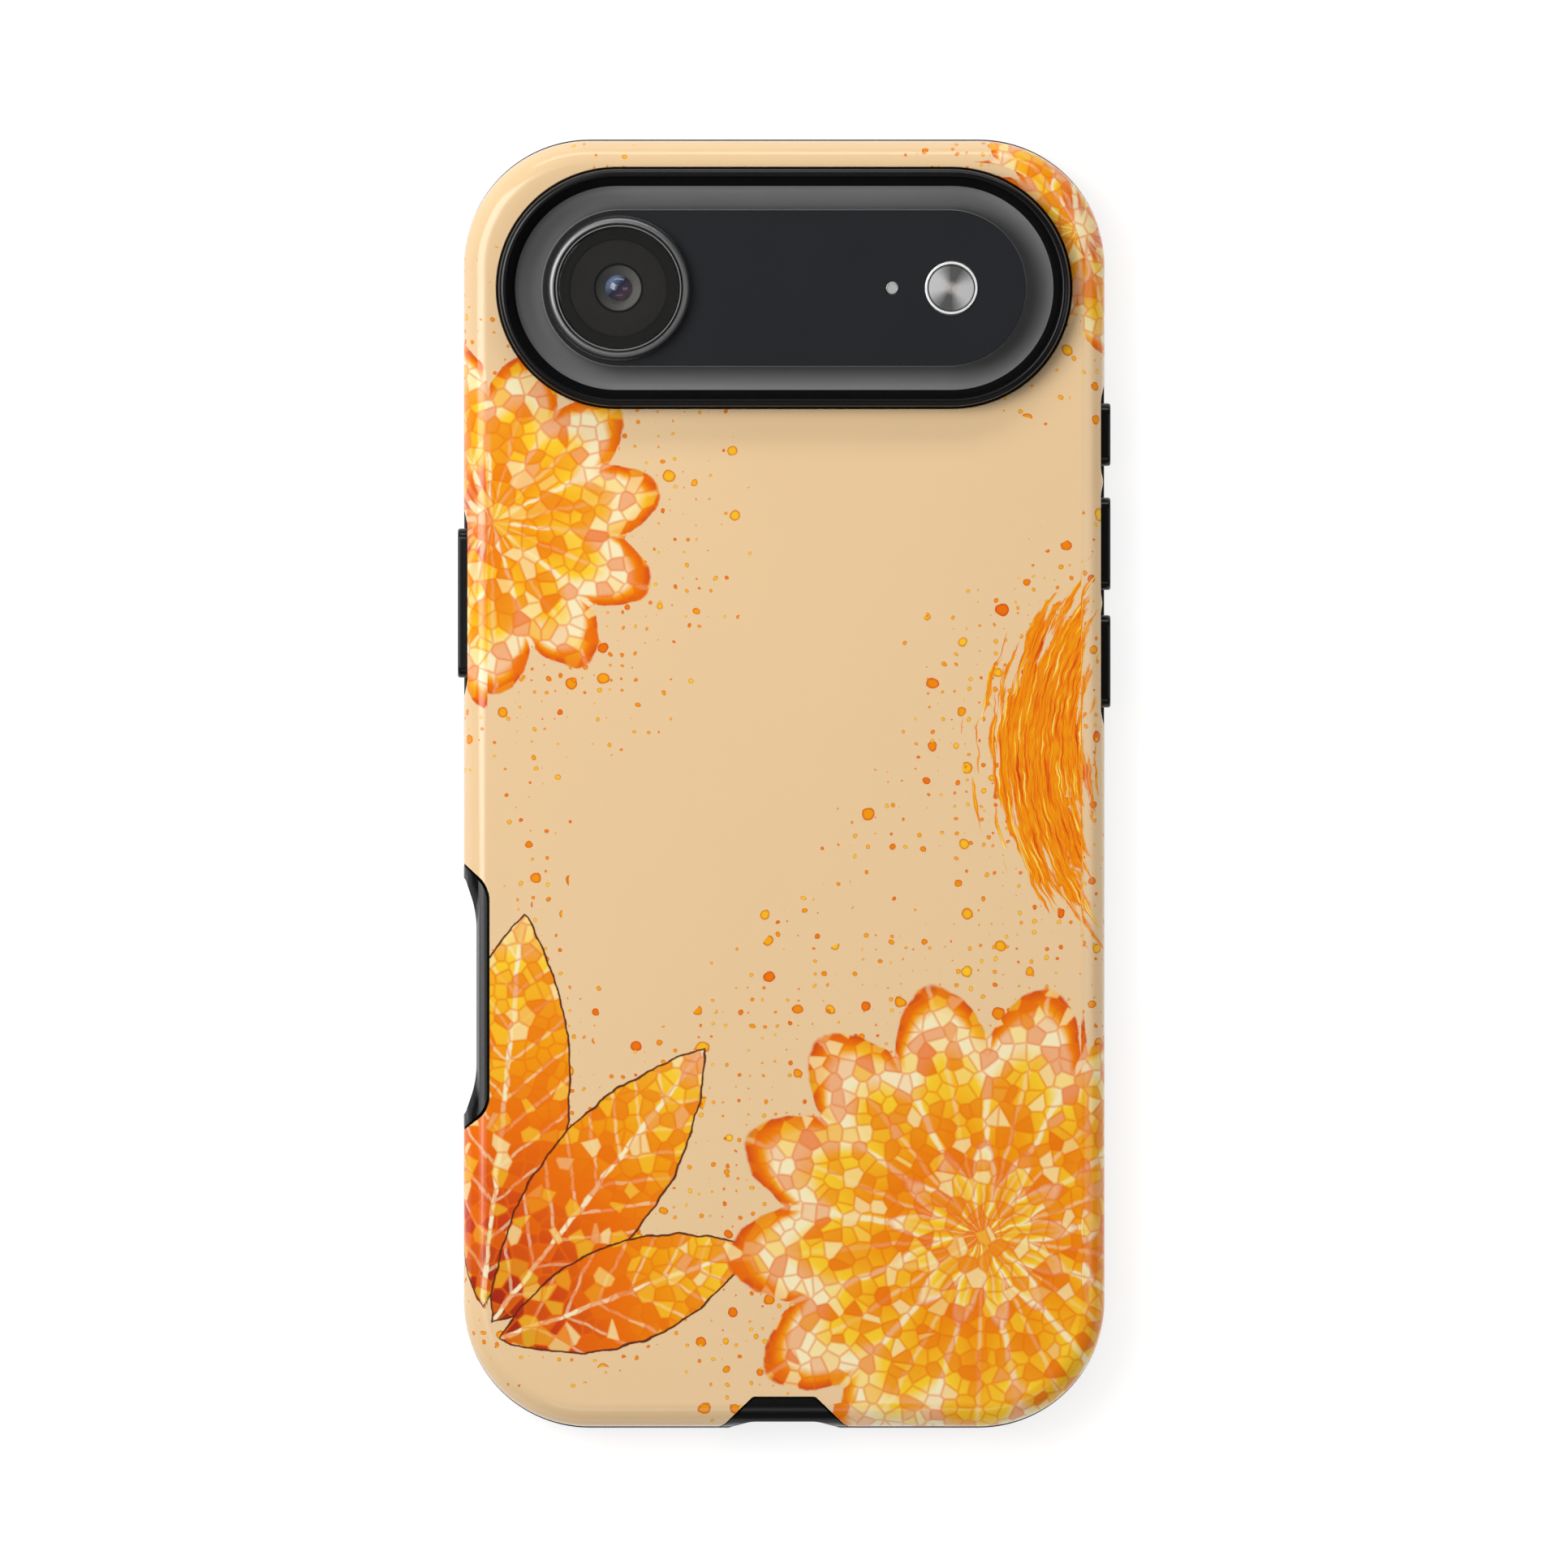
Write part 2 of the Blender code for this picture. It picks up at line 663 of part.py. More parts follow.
def control_bar(name, growth, sink, reach, **options):
    """Bar at the side control, from a depth inside the phone's left side outwards."""
    return side_bar(
        name,
        tuple(side + 2 * growth for side in CONTROL_BAR),
        reach,
        (sink - PHONE_WIDTH / 2, CONTROL_Y, PHONE_MID_Z),
        -QUARTER_TURN,
        **options,
    )


def phone_frame(phone):
    frame = prism(
        "phone_frame",
        rectangle(PHONE_WIDTH, PHONE_LENGTH, PHONE_CORNER),
        SCREEN_FACE_Z + FRAME_SETBACK,
        PHONE_BACK_Z - FRAME_SETBACK,
        CORNER_STEPS,
        top_round=FRAME_ROUND,
        foot_round=FRAME_ROUND,
        finish="frame_metal",
        parent=phone,
    )
    inset = PANEL_INSET - SEAT_FIT
    pocket = rectangle(PHONE_WIDTH - 2 * inset, PHONE_LENGTH - 2 * inset, PHONE_CORNER - inset)
    depth = PANEL_THICKNESS + SEAT_FIT
    above = PHONE_BACK_Z + OVERCUT
    sink = OVERCUT + SEAT_FIT
    cutters = [
        prism("screen_pocket", pocket, 0, SCREEN_FACE_Z + depth, CORNER_STEPS),
        prism("panel_pocket", pocket, PHONE_BACK_Z - depth, above, CORNER_STEPS),
        port_cutter(),
        control_bar("control_pocket", FINE_FIT, sink, sink + OVERCUT),
    ]
    combine(frame, "DIFFERENCE", cutters + speaker_holes(-1) + speaker_holes(1))


def panel_plan():
    return rectangle(
        PHONE_WIDTH - 2 * PANEL_INSET, PHONE_LENGTH - 2 * PANEL_INSET, PHONE_CORNER - PANEL_INSET
    )


def screen_glass(phone):
    prism(
        "screen_glass",
        panel_plan(),
        SCREEN_FACE_Z,
        SCREEN_FACE_Z + PANEL_THICKNESS,
        CORNER_STEPS,
        foot_round=SEAT_FIT,
        finish="screen_glass",
        parent=phone,
    )


def back_panel(phone):
    """Back of the phone with the hollow-sided shoulder that lifts the camera plate."""
    panel = prism(
        "back_panel",
        panel_plan(),
        PHONE_BACK_Z - PANEL_THICKNESS,
        PHONE_BACK_Z,
        CORNER_STEPS,
        finish="grey_back",
        parent=phone,
    )
    rise = DECK_Z - PHONE_BACK_Z - SHOULDER_FOOT
    run_x = SHOULDER_LENGTH - PLATE_LENGTH - 2 * PLATE_EDGE
    run_y = SHOULDER_WIDTH - PLATE_WIDTH - 2 * PLATE_EDGE
    sections = [(pill(SHOULDER_LENGTH, SHOULDER_WIDTH), PHONE_BACK_Z - FIT)]
    for step in range(SHOULDER_STEPS + 1):
        angle = QUARTER_TURN * step / SHOULDER_STEPS
        plan = pill(SHOULDER_LENGTH - run_x * sin(angle), SHOULDER_WIDTH - run_y * sin(angle))
        sections.append((plan, PHONE_BACK_Z + SHOULDER_FOOT + rise * (1 - cos(angle))))
    combine(panel, "UNION", [loft("shoulder", sections, PILL_STEPS, location=CAMERA_CENTRE)])


def side_control(phone):
    control_bar("side_control", 0.0, OVERCUT, OVERCUT, finish="control_black", parent=phone)


def camera_plate(camera):
    plan = pill(PLATE_LENGTH, PLATE_WIDTH)
    face_plan = pill(PLATE_LENGTH - 2 * PLATE_EDGE, PLATE_WIDTH - 2 * PLATE_EDGE)
    plate = loft(
        "camera_plate",
        [(plan, SEAT_Z), (plan, PLATE_TOP_Z - PLATE_EDGE), (face_plan, PLATE_TOP_Z)],
        PILL_STEPS,
        finish="plate_glass",
        parent=camera,
    )
    low, high = SEAT_Z - OVERCUT, PLATE_TOP_Z + OVERCUT
    holes = []
    for name, hole_x, radius in (
        ("lens_hole", LENS_X, LENS_RADIUS + FINE_FIT),
        ("flash_hole", FLASH_X, FLASH_RADIUS + FINE_FIT),
        ("mic_hole", MIC_X, MIC_RADIUS + FINE_FIT),
    ):
        profile = [(0, high), (radius, high), (radius, low), (0, low)]
        holes.append(turned(name, profile, location=(hole_x, CAMERA_Y, 0)))
    combine(plate, "DIFFERENCE", holes)


def lens_ring(camera):
    inner = LENS_RADIUS - LENS_BAND
    profile = [
        (LENS_RADIUS, SEAT_Z),
        (inner, SEAT_Z),
        (inner, LENS_TOP_Z - LENS_LIP_DROP),
        (inner + LENS_LIP, LENS_TOP_Z),
        (LENS_RADIUS - LENS_BEVEL, LENS_TOP_Z),
        (LENS_RADIUS, LENS_TOP_Z - LENS_BEVEL),
    ]
    turned("lens_ring", profile, LENS_X, finish="lens_metal", parent=camera)


def lens_inner_ring(camera):
    inner = INNER_RING_RADIUS - INNER_RING_BAND
    top = LENS_TOP_Z - INNER_RING_DROP
    profile = [
        (INNER_RING_RADIUS, SEAT_Z),
        (inner, SEAT_Z),
        (inner, top),
        (INNER_RING_RADIUS, top),
    ]
    turned("lens_inner_ring", profile, LENS_X, finish="lens_metal", parent=camera)


def lens_glass(camera):
    profile = [
        (0, LENS_TOP_Z - GLASS_CROWN_DROP),
        (GLASS_RADIUS - GLASS_RIM, LENS_TOP_Z - GLASS_RIM_DROP),
        (GLASS_RADIUS, LENS_TOP_Z - GLASS_EDGE_DROP),
        (GLASS_RADIUS, GLASS_LOW_Z),
        (0, GLASS_LOW_Z),
    ]
    turned("lens_glass", profile, LENS_X, finish="lens_glass", parent=camera)


def lens_barrel(camera):
    profile = [
        (0, WELL_Z),
        (ELEMENT_RADIUS + LENS_GAP, WELL_Z),
        (FUNNEL_RADIUS, BARREL_TOP_Z - FUNNEL_LIP),
        (BARREL_STEP_RADIUS, BARREL_TOP_Z - BARREL_STEP),
        (BARREL_STEP_RADIUS + BARREL_STEP_RUN, BARREL_TOP_Z),
        (GLASS_RADIUS, BARREL_TOP_Z),
        (GLASS_RADIUS, SEAT_Z),
        (0, SEAT_Z),
    ]
    turned("lens_barrel", profile, LENS_X, finish="barrel_black", parent=camera)


def lens_element(camera):
    """Domed front element standing in the barrel's well."""
    foot = WELL_Z + LENS_GAP
    rise = ELEMENT_TOP_Z - foot
    angles = [QUARTER_TURN * step / DOME_STEPS for step in range(DOME_STEPS + 1)]
    profile = [(ELEMENT_RADIUS * sin(angle), foot + rise * cos(angle)) for angle in angles]
    profile.append((0, foot))
    turned(
        "lens_element",
        profile,
        LENS_X,
        SMALL_ROUND_STEPS,
        finish="element_coating",
        parent=camera,
    )


def flash(camera):
    inner = FLASH_RADIUS - FLASH_BAND
    top = PLATE_TOP_Z + FLASH_RISE
    ring = [
        (FLASH_RADIUS, SEAT_Z),
        (inner, SEAT_Z),
        (inner, top),
        (FLASH_RADIUS - FLASH_BEVEL, top),
        (FLASH_RADIUS, top - FLASH_BEVEL),
    ]
    turned("flash_ring", ring, FLASH_X, finish="bright_trim", parent=camera)
    radius = inner - FINE_FIT
    disc = [
        (0, PLATE_TOP_Z + FLASH_LENS_CROWN),
        (radius - FLASH_LENS_RIM, PLATE_TOP_Z + FLASH_LENS_RIM_RISE),
        (radius, PLATE_TOP_Z - FLASH_LENS_RIM_RISE),
        (radius, SEAT_Z),
        (0, SEAT_Z),
    ]
    turned("flash_lens", disc, FLASH_X, finish="flash_silver", parent=camera)


def mic_grille(camera):
    profile = [
        (0, PLATE_TOP_Z),
        (MIC_DISC_RADIUS, PLATE_TOP_Z),
        (MIC_CREST_RADIUS, PLATE_TOP_Z + MIC_CREST_RISE),
        (MIC_RADIUS, PLATE_TOP_Z + MIC_EDGE_RISE),
        (MIC_RADIUS, SEAT_Z),
        (0, SEAT_Z),
    ]
    turned(
        "mic_grille", profile, MIC_X, SMALL_ROUND_STEPS, finish="bright_trim", parent=camera
    )


def build():
    clear_scene()
    case = add_empty("case")
    phone = add_empty("phone")
    camera = add_empty("camera", CAMERA_CENTRE, phone)
    for piece in (outer_shell, inner_liner):
        piece(case)
    for piece in (phone_frame, screen_glass, back_panel, side_control):
        piece(phone)
    for piece in (
        camera_plate,
        lens_ring,
        lens_inner_ring,
        lens_glass,
        lens_barrel,
        lens_element,
        flash,
        mic_grille,
    ):
        piece(camera)


build()
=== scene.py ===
"""Looks of the cased phone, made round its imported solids.

The phone lies on its screen: X runs across it, Y along it (camera end at +Y) and Z up.
Lengths are in metres, and those of the print are in millimetres.
"""

from math import atan2, cos, pi, radians, sin

import bmesh
import bpy
from mathutils import Matrix, Vector


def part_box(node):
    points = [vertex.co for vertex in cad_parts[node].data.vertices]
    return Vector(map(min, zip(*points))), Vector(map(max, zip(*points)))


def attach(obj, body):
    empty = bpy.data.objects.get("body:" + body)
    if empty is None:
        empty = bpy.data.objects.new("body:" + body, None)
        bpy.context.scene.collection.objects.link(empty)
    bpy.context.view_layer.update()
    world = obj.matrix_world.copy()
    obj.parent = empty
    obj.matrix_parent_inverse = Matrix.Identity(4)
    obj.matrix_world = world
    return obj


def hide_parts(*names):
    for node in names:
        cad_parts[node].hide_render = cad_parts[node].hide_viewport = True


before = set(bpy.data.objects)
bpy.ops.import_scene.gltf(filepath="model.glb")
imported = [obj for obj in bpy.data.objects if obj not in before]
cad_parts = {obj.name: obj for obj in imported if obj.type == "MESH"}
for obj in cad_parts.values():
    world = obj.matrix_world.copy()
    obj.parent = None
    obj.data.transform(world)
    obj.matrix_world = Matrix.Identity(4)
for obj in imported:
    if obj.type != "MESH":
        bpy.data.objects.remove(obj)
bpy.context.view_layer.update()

MM = 0.001
FIT = 0.3 * MM
FINE_FIT = 0.15 * MM
SEAT_FIT = 0.2 * MM
OVERCUT = 1.0 * MM

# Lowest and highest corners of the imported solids
shell_low, shell_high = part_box("outer_shell")
liner_low, liner_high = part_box("inner_liner")
frame_low, frame_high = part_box("phone_frame")
panel_low, panel_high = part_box("back_panel")
screen_low, screen_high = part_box("screen_glass")
plate_low, plate_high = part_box("camera_plate")
lens_low, lens_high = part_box("lens_ring")
inner_ring_low, inner_ring_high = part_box("lens_inner_ring")
glass_low, glass_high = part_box("lens_glass")
barrel_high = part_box("lens_barrel")[1]
element_low, element_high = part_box("lens_element")
flash_low, flash_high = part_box("flash_ring")
flash_lens_low, flash_lens_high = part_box("flash_lens")
mic_low, mic_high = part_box("mic_grille")
control_low, control_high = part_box("side_control")

# Shell
SHELL_WIDTH = shell_high.x - shell_low.x
SHELL_LENGTH = shell_high.y - shell_low.y
SHELL_FOOT_Z = shell_low.z
SHELL_BACK_Z = shell_high.z
SHELL_CORNER = 15.8 * MM
SHELL_WALL = 1.35 * MM
SHELL_BACK_THICKNESS = 1.4 * MM
SHELL_FILLET = 3.0 * MM
SHELL_FOOT_ROUND = 0.2 * MM
EDGE_ROUND = 0.12 * MM

# Liner
LINER_WIDTH = SHELL_WIDTH - 2 * (SHELL_WALL + FIT)
LINER_LENGTH = SHELL_LENGTH - 2 * (SHELL_WALL + FIT)
LINER_CORNER = SHELL_CORNER - SHELL_WALL - FIT
LINER_FOOT_Z = 0.6 * MM
LINER_BACK_Z = SHELL_BACK_Z - SHELL_BACK_THICKNESS - FIT
LINER_FILLET = 1.4 * MM
FLANGE_WIDTH = 80.6 * MM
FLANGE_LENGTH = liner_high.y - liner_low.y
FLANGE_TOP_Z = SHELL_FOOT_Z - FIT
FLANGE_ROUND = 0.35 * MM
LIP_OVERLAP = 1.25 * MM

# Phone
PHONE_WIDTH = frame_high.x - frame_low.x
PHONE_LENGTH = frame_high.y - frame_low.y
PHONE_CORNER = SHELL_CORNER - (SHELL_WIDTH - PHONE_WIDTH) / 2
SCREEN_FACE_Z = screen_low.z
PHONE_MID_Z = (control_low.z + control_high.z) / 2
PHONE_BACK_Z = 2 * PHONE_MID_Z - SCREEN_FACE_Z
LIP_THICKNESS = SCREEN_FACE_Z - FIT
FRAME_ROUND = 0.9 * MM

# Camera opening, its rim and the plateau
CAMERA_Y = (plate_low.y + plate_high.y) / 2
OPENING_LENGTH = 72.57 * MM
OPENING_WIDTH = 30.46 * MM
RIM_TOP_Z = liner_high.z
RIM_ROUND = 0.6 * MM
RIM_ROOT = 0.5 * MM
RIM_INNER_ROUND = 0.36 * MM
RIM_CREST_INSET = 1.35 * MM
RIM_FOOT_INSET = 2.38 * MM
SHOULDER_LENGTH = 67.3 * MM
SHOULDER_WIDTH = 24.9 * MM
SHOULDER_FOOT = 0.05 * MM
PLATE_LENGTH = plate_high.x - plate_low.x
PLATE_WIDTH = plate_high.y - plate_low.y
PLATE_TOP_Z = plate_high.z
PLATE_EDGE = 0.1 * MM
SEAT_Z = plate_low.z
DECK_Z = panel_high.z

# Lens, flash and microphone
LENS_X = (lens_low.x + lens_high.x) / 2
LENS_RADIUS = (lens_high.x - lens_low.x) / 2
LENS_TOP_Z = lens_high.z
LENS_BAND = 0.9 * MM
LENS_BEVEL = 0.7 * MM
LENS_LIP = 0.12 * MM
LENS_LIP_DROP = 0.15 * MM
INNER_RING_RADIUS = (inner_ring_high.x - inner_ring_low.x) / 2
INNER_RING_BAND = 0.23 * MM
INNER_RING_BEVEL = 0.05 * MM
GLASS_RADIUS = (glass_high.x - glass_low.x) / 2
GLASS_RIM = 0.3 * MM
GLASS_CROWN_DROP = 0.25 * MM
GLASS_RIM_DROP = 0.3 * MM
GLASS_EDGE_DROP = 0.45 * MM
BARREL_STEP_RADIUS = 6.1 * MM
BARREL_STEP = 0.15 * MM
BARREL_STEP_RUN = 0.1 * MM
FUNNEL_RADIUS = 3.0 * MM
FUNNEL_LIP = 0.2 * MM
ELEMENT_RADIUS = (element_high.x - element_low.x) / 2
ELEMENT_GAP = 0.1 * MM
FLASH_X = (flash_low.x + flash_high.x) / 2
FLASH_RADIUS = (flash_high.x - flash_low.x) / 2
FLASH_LENS_RADIUS = (flash_lens_high.x - flash_lens_low.x) / 2
FLASH_BAND = 0.3 * MM
FLASH_BEVEL = 0.08 * MM
FLASH_LENS_RIM = 0.15 * MM
FLASH_LENS_RIM_RISE = 0.05 * MM
MIC_X = (mic_low.x + mic_high.x) / 2
MIC_RADIUS = (mic_high.x - mic_low.x) / 2
MIC_DISC_RADIUS = 0.61 * MM
MIC_CREST_RADIUS = 0.65 * MM
MIC_EDGE_RISE = 0.05 * MM

# Button covers: side (-1 left, +1 right), middle in Y, length
BUTTONS = {
    "action": (-1, 22.74 * MM, 18.8 * MM),
    "power": (1, 43.95 * MM, 7.9 * MM),
    "volume_up": (1, 30.2 * MM, 11.65 * MM),
    "volume_down": (1, 15.4 * MM, 11.65 * MM),
}
BUTTON_REACH = liner_high.x
BUTTON_ROOT_DEPTH = 0.4 * MM
BUTTON_ROOT = LINER_WIDTH / 2 - BUTTON_ROOT_DEPTH
BUTTON_HEIGHT = 2.8 * MM
BUTTON_ROUND = 0.3 * MM
WINDOW_CLEARANCE = 0.4 * MM
SCOOP_DEPTH = 0.46 * MM
SCOOP_MARGIN = 0.5 * MM
SCOOP_RAMP = 2.1 * MM
SCOOP_REACH = 0.5 * MM

# Hollows of the left side: X, both ends in Y, and the reach of the rounded corners
CONTROL_Y = (control_low.y + control_high.y) / 2
CONTROL_SLOT = (18.6 * MM, 4.8 * MM)
NOTCH_MOUTH = (-40.5 * MM, -9.85 * MM, -43.75 * MM, 0.5 * MM)
NOTCH_FLOOR = (-37.1 * MM, -13.0 * MM, -41.15 * MM, 1.6 * MM)
DISH_MOUTH = (-40.35 * MM, -11.4 * MM, -42.1 * MM, 1.0 * MM)
DISH_FLOOR = (-38.76 * MM, -16.2 * MM, -37.4 * MM, 1.8 * MM)
RIDGE_MOUTH = (-40.2 * MM, -10.2 * MM, -43.3 * MM, 1.0 * MM)
RIDGE_FLOOR = (-38.38 * MM, -13.4 * MM, -40.2 * MM, 1.2 * MM)
RIDGE_DROP = 0.44 * MM
RIDGE_Z = SHELL_BACK_Z - RIDGE_DROP
BEVEL_HEIGHT = 1.3 * MM
BEVEL_Z = RIDGE_Z - BEVEL_HEIGHT
PAD_DROP = 0.3 * MM

# Charging port, speaker slots and their holes
PORT_NOTCH_Y = -77.2 * MM
PORT_NOTCH_HALF_FLOOR = 3.95 * MM
PORT_NOTCH_HALF_MOUTH = 7.9 * MM
PORT_NOTCH_FLOOR_REACH = 0.3 * MM
PORT_NOTCH_MOUTH_REACH = 0.8 * MM
PORT_DIP_Y = -80.37 * MM
PORT_DIP_HALF_FLOOR = 4.2 * MM
PORT_DIP_HALF_MOUTH = 7.4 * MM
PORT_DIP_FLOOR_REACH = 0.6 * MM
PORT_MOUTH_MARGIN = 0.1 * MM
PLUG_OPENING = (12.4 * MM, 5.0 * MM)
PORT = (8.9 * MM, 3.1 * MM)
PORT_DEPTH = 6.5 * MM
TONGUE = (6.4 * MM, 0.7 * MM)
TONGUE_ROUND = 0.2 * MM
TONGUE_SETBACK = 1.0 * MM
SPEAKER_X = 17.0 * MM
SPEAKER_SLOT = (9.0 * MM, 2.2 * MM)
SPEAKER_HOLES = 4
SPEAKER_HOLE = 1.1 * MM
SPEAKER_HOLE_PITCH = 1.9 * MM
SPEAKER_HOLE_DEPTH = 1.0 * MM

# Smoothness
CORNER_STEPS = 28
PILL_STEPS = 40
BAR_STEPS = 12
FILLET_STEPS = 12
ROUND_STEPS = 8
SMALL_STEPS = 4
SHOULDER_STEPS = 24
DOME_STEPS = 16
TURN_STEPS = 128
LARGE_ROUND = 1.0 * MM
SMOOTH_ANGLE = radians(32)
MERGE = 0.002 * MM
BRIDGE_SCALE = 1000.0
QUARTER_TURN = pi / 2
CAMERA_CENTRE = Vector((0, CAMERA_Y, 0))


def rectangle(length, width, radius):
    """Corners (x, y, reach) of a rounded rectangle; a large radius makes a pill."""
    half_x, half_y = length / 2, width / 2
    reach = min(radius, half_x, half_y)
    signs = ((-1, -1), (1, -1), (1, 1), (-1, 1))
    return [(sign_x * half_x, sign_y * half_y, reach) for sign_x, sign_y in signs]


def pill(length, width):
    return rectangle(length, width, width)


def level_face(bm, corners, z, steps):
    """One level face from corners (x, y, reach), each rounded over its reach."""
    known = set(bm.faces)
    verts = [bm.verts.new((x, y, z)) for x, y, reach in corners]
    bm.faces.new(verts)
    for reach in sorted({corner[2] for corner in corners if corner[2]}):
        bmesh.ops.bevel(
            bm,
            geom=[vert for vert, corner in zip(verts, corners) if corner[2] == reach],
            offset=reach,
            segments=steps,
            profile=0.5,
            affect="VERTICES",
            material=-1,
        )
    level = [vert for vert in bm.verts if abs(vert.co.z - z) < MERGE]
    bmesh.ops.remove_doubles(bm, verts=level, dist=MERGE)
    return next(face for face in bm.faces if face not in known)


def round_cap(bm, cap, radius):
    bmesh.ops.bevel(
        bm,
        geom=list(cap.edges),
        offset=radius,
        segments=FILLET_STEPS if radius > LARGE_ROUND else SMALL_STEPS,
        profile=0.5,
        affect="EDGES",
        material=-1,
    )


def face_outwards(bm):
    bmesh.ops.recalc_face_normals(bm, faces=bm.faces)
    if bm.calc_volume(signed=True) < 0:
        bmesh.ops.reverse_faces(bm, faces=bm.faces)


def loft_mesh(sections, steps, top_round=0.0, foot_round=0.0):
    """Closed bmesh through level sections, each given as corners and height."""
    bm = bmesh.new()
    faces = []
    rings = []
    for corners, z in sections:
        faces.append(level_face(bm, corners, z, steps))
        rings.append(list(faces[-1].edges))
    bmesh.ops.delete(bm, geom=faces[1:-1], context="FACES_ONLY")
    bmesh.ops.scale(bm, vec=[BRIDGE_SCALE] * 3, verts=bm.verts)
    for lower, upper in zip(rings, rings[1:]):
        bmesh.ops.bridge_loops(bm, edges=lower + upper)
    bmesh.ops.scale(bm, vec=[1 / BRIDGE_SCALE] * 3, verts=bm.verts)
    face_outwards(bm)
    for cap, radius in ((faces[-1], top_round), (faces[0], foot_round)):
        if radius:
            round_cap(bm, cap, radius)
    return bm


def add_mesh(name, bm, place=None):
    """Turn a bmesh into an object at the origin, with its place in its mesh."""
    bmesh.ops.remove_doubles(bm, verts=bm.verts, dist=MERGE)
    face_outwards(bm)
    if place:
        bmesh.ops.transform(bm, matrix=place, verts=bm.verts)
    mesh = bpy.data.meshes.new(name)
    bm.to_mesh(mesh)
    bm.free()
    made = bpy.data.objects.new(name, mesh)
    bpy.context.scene.collection.objects.link(made)
    return made


def loft(name, sections, steps=SMALL_STEPS, place=None, **rounds):
    return add_mesh(name, loft_mesh(sections, steps, **rounds), place)


def prism(name, corners, low, high, steps=SMALL_STEPS, **options):
    return loft(name, [(corners, low), (corners, high)], steps, **options)


def at_camera():
    return Matrix.Translation(CAMERA_CENTRE)


def side_place(location, turn):
    """Place of a piece that is modelled level and points out of a side."""
    upright = Matrix.Rotation(QUARTER_TURN, 4, "X")
    return Matrix.Translation(location) @ Matrix.Rotation(turn, 4, "Z") @ upright


def side_bar(name, size, reach, location, turn=0.0, radius=None, **options):
    """Bar that points out of a side from its location; unturned, it points to -Y."""
    length, height = size
    plan = rectangle(length, height, radius or height)
    return prism(name, plan, 0, reach, BAR_STEPS, place=side_place(location, turn), **options)


def flared_bar(name, size, face, reach, location, turn=0.0):
    """Cutter like a side bar that widens a little at a face, to ease the edge it cuts."""
    length, height = size
    sections = [(pill(length, height), 0)]
    for inset, drop in quarter_round(EDGE_ROUND, SMALL_STEPS):
        grown = 2 * inset
        sections.append((pill(length + grown, height + grown), face - drop))
    sections.append((pill(length + 2 * EDGE_ROUND, height + 2 * EDGE_ROUND), reach))
    return loft(name, sections, BAR_STEPS, side_place(location, turn))


def turned(name, profile, centre_x):
    """Solid of revolution on the camera's long axis; profile holds (radius, z)."""
    bm = bmesh.new()
    verts = [bm.verts.new((radius, 0, z)) for radius, z in profile]
    edges = [bm.edges.new(pair) for pair in zip(verts, verts[1:])]
    if profile[0][0] > 0:
        edges.append(bm.edges.new((verts[-1], verts[0])))
    bmesh.ops.spin(
        bm,
        geom=verts + edges,
        cent=(0, 0, 0),
        axis=(0, 0, 1),
        angle=2 * pi,
        steps=TURN_STEPS,
        use_merge=True,
    )
    return add_mesh(name, bm, Matrix.Translation((centre_x, CAMERA_Y, 0)))


def quarter_round(radius, steps):
    """Inset and drop of each step of a quarter round."""
    angles = [QUARTER_TURN * step / steps for step in range(steps + 1)]
    return [(radius * (1 - cos(angle)), radius * (1 - sin(angle))) for angle in angles]


def combine(target, operation, tools):
    """Boolean the tools into the target's mesh and drop them."""
    group = bpy.data.collections.new("tools")
    bpy.context.scene.collection.children.link(group)
    for tool in tools:
        bpy.context.scene.collection.objects.unlink(tool)
        group.objects.link(tool)
    step = target.modifiers.new(operation.title(), "BOOLEAN")
    step.operation = operation
    step.operand_type = "COLLECTION"
    step.collection = group
    step.solver = "EXACT"
    graph = bpy.context.evaluated_depsgraph_get()
    mesh = bpy.data.meshes.new_from_object(target.evaluated_get(graph))
    target.modifiers.clear()
    target.data = mesh
    for tool in tools:
        bpy.data.objects.remove(tool)
    bpy.data.collections.remove(group)
    return target


def finish_piece(piece, node, finish):
    """Shade a piece, give it its finish and let it stand for its CAD node."""
    piece.data.shade_smooth()
    piece.data.set_sharp_from_angle(angle=SMOOTH_ANGLE)
    piece.data.materials.clear()
    piece.data.materials.append(finish)
    even = piece.modifiers.new("Even shading", "WEIGHTED_NORMAL")
    even.keep_sharp = True
    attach(piece, "root")
    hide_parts(node)
    return piece


def mirrored(corners):
    """Plan corners completed with their mirror images across X."""
    return corners + [(-x, y, reach) for x, y, reach in reversed(corners)]


def scoop_cutter(side):
    """Full-height cutter that hollows the shell's side around its buttons."""
    edge = SHELL_WIDTH / 2
    outside = BUTTON_REACH + OVERCUT
    floor = edge - SCOOP_DEPTH
    runs = sorted(
        (y - length / 2 - SCOOP_MARGIN, y + length / 2 + SCOOP_MARGIN)
        for button_side, y, length in BUTTONS.values()
        if button_side == side
    )
    first, last = runs[0][0] - SCOOP_RAMP, runs[-1][1] + SCOOP_RAMP
    points = [(outside, first), (edge, first)]
    for (start, end), following in zip(runs, runs[1:] + [None]):
        points += [(floor, start), (floor, end)]
        if following:
            half_space = (following[0] - end) / 2
            peak = floor + SCOOP_DEPTH * min(1, half_space / SCOOP_RAMP)
            points.append((peak, end + half_space))
    points += [(edge, last), (outside, last)]
    corners = [(side * x, y, SCOOP_REACH if x < outside else 0) for x, y in points]
    return prism("scoop", corners, 0, SHELL_BACK_Z + OVERCUT)


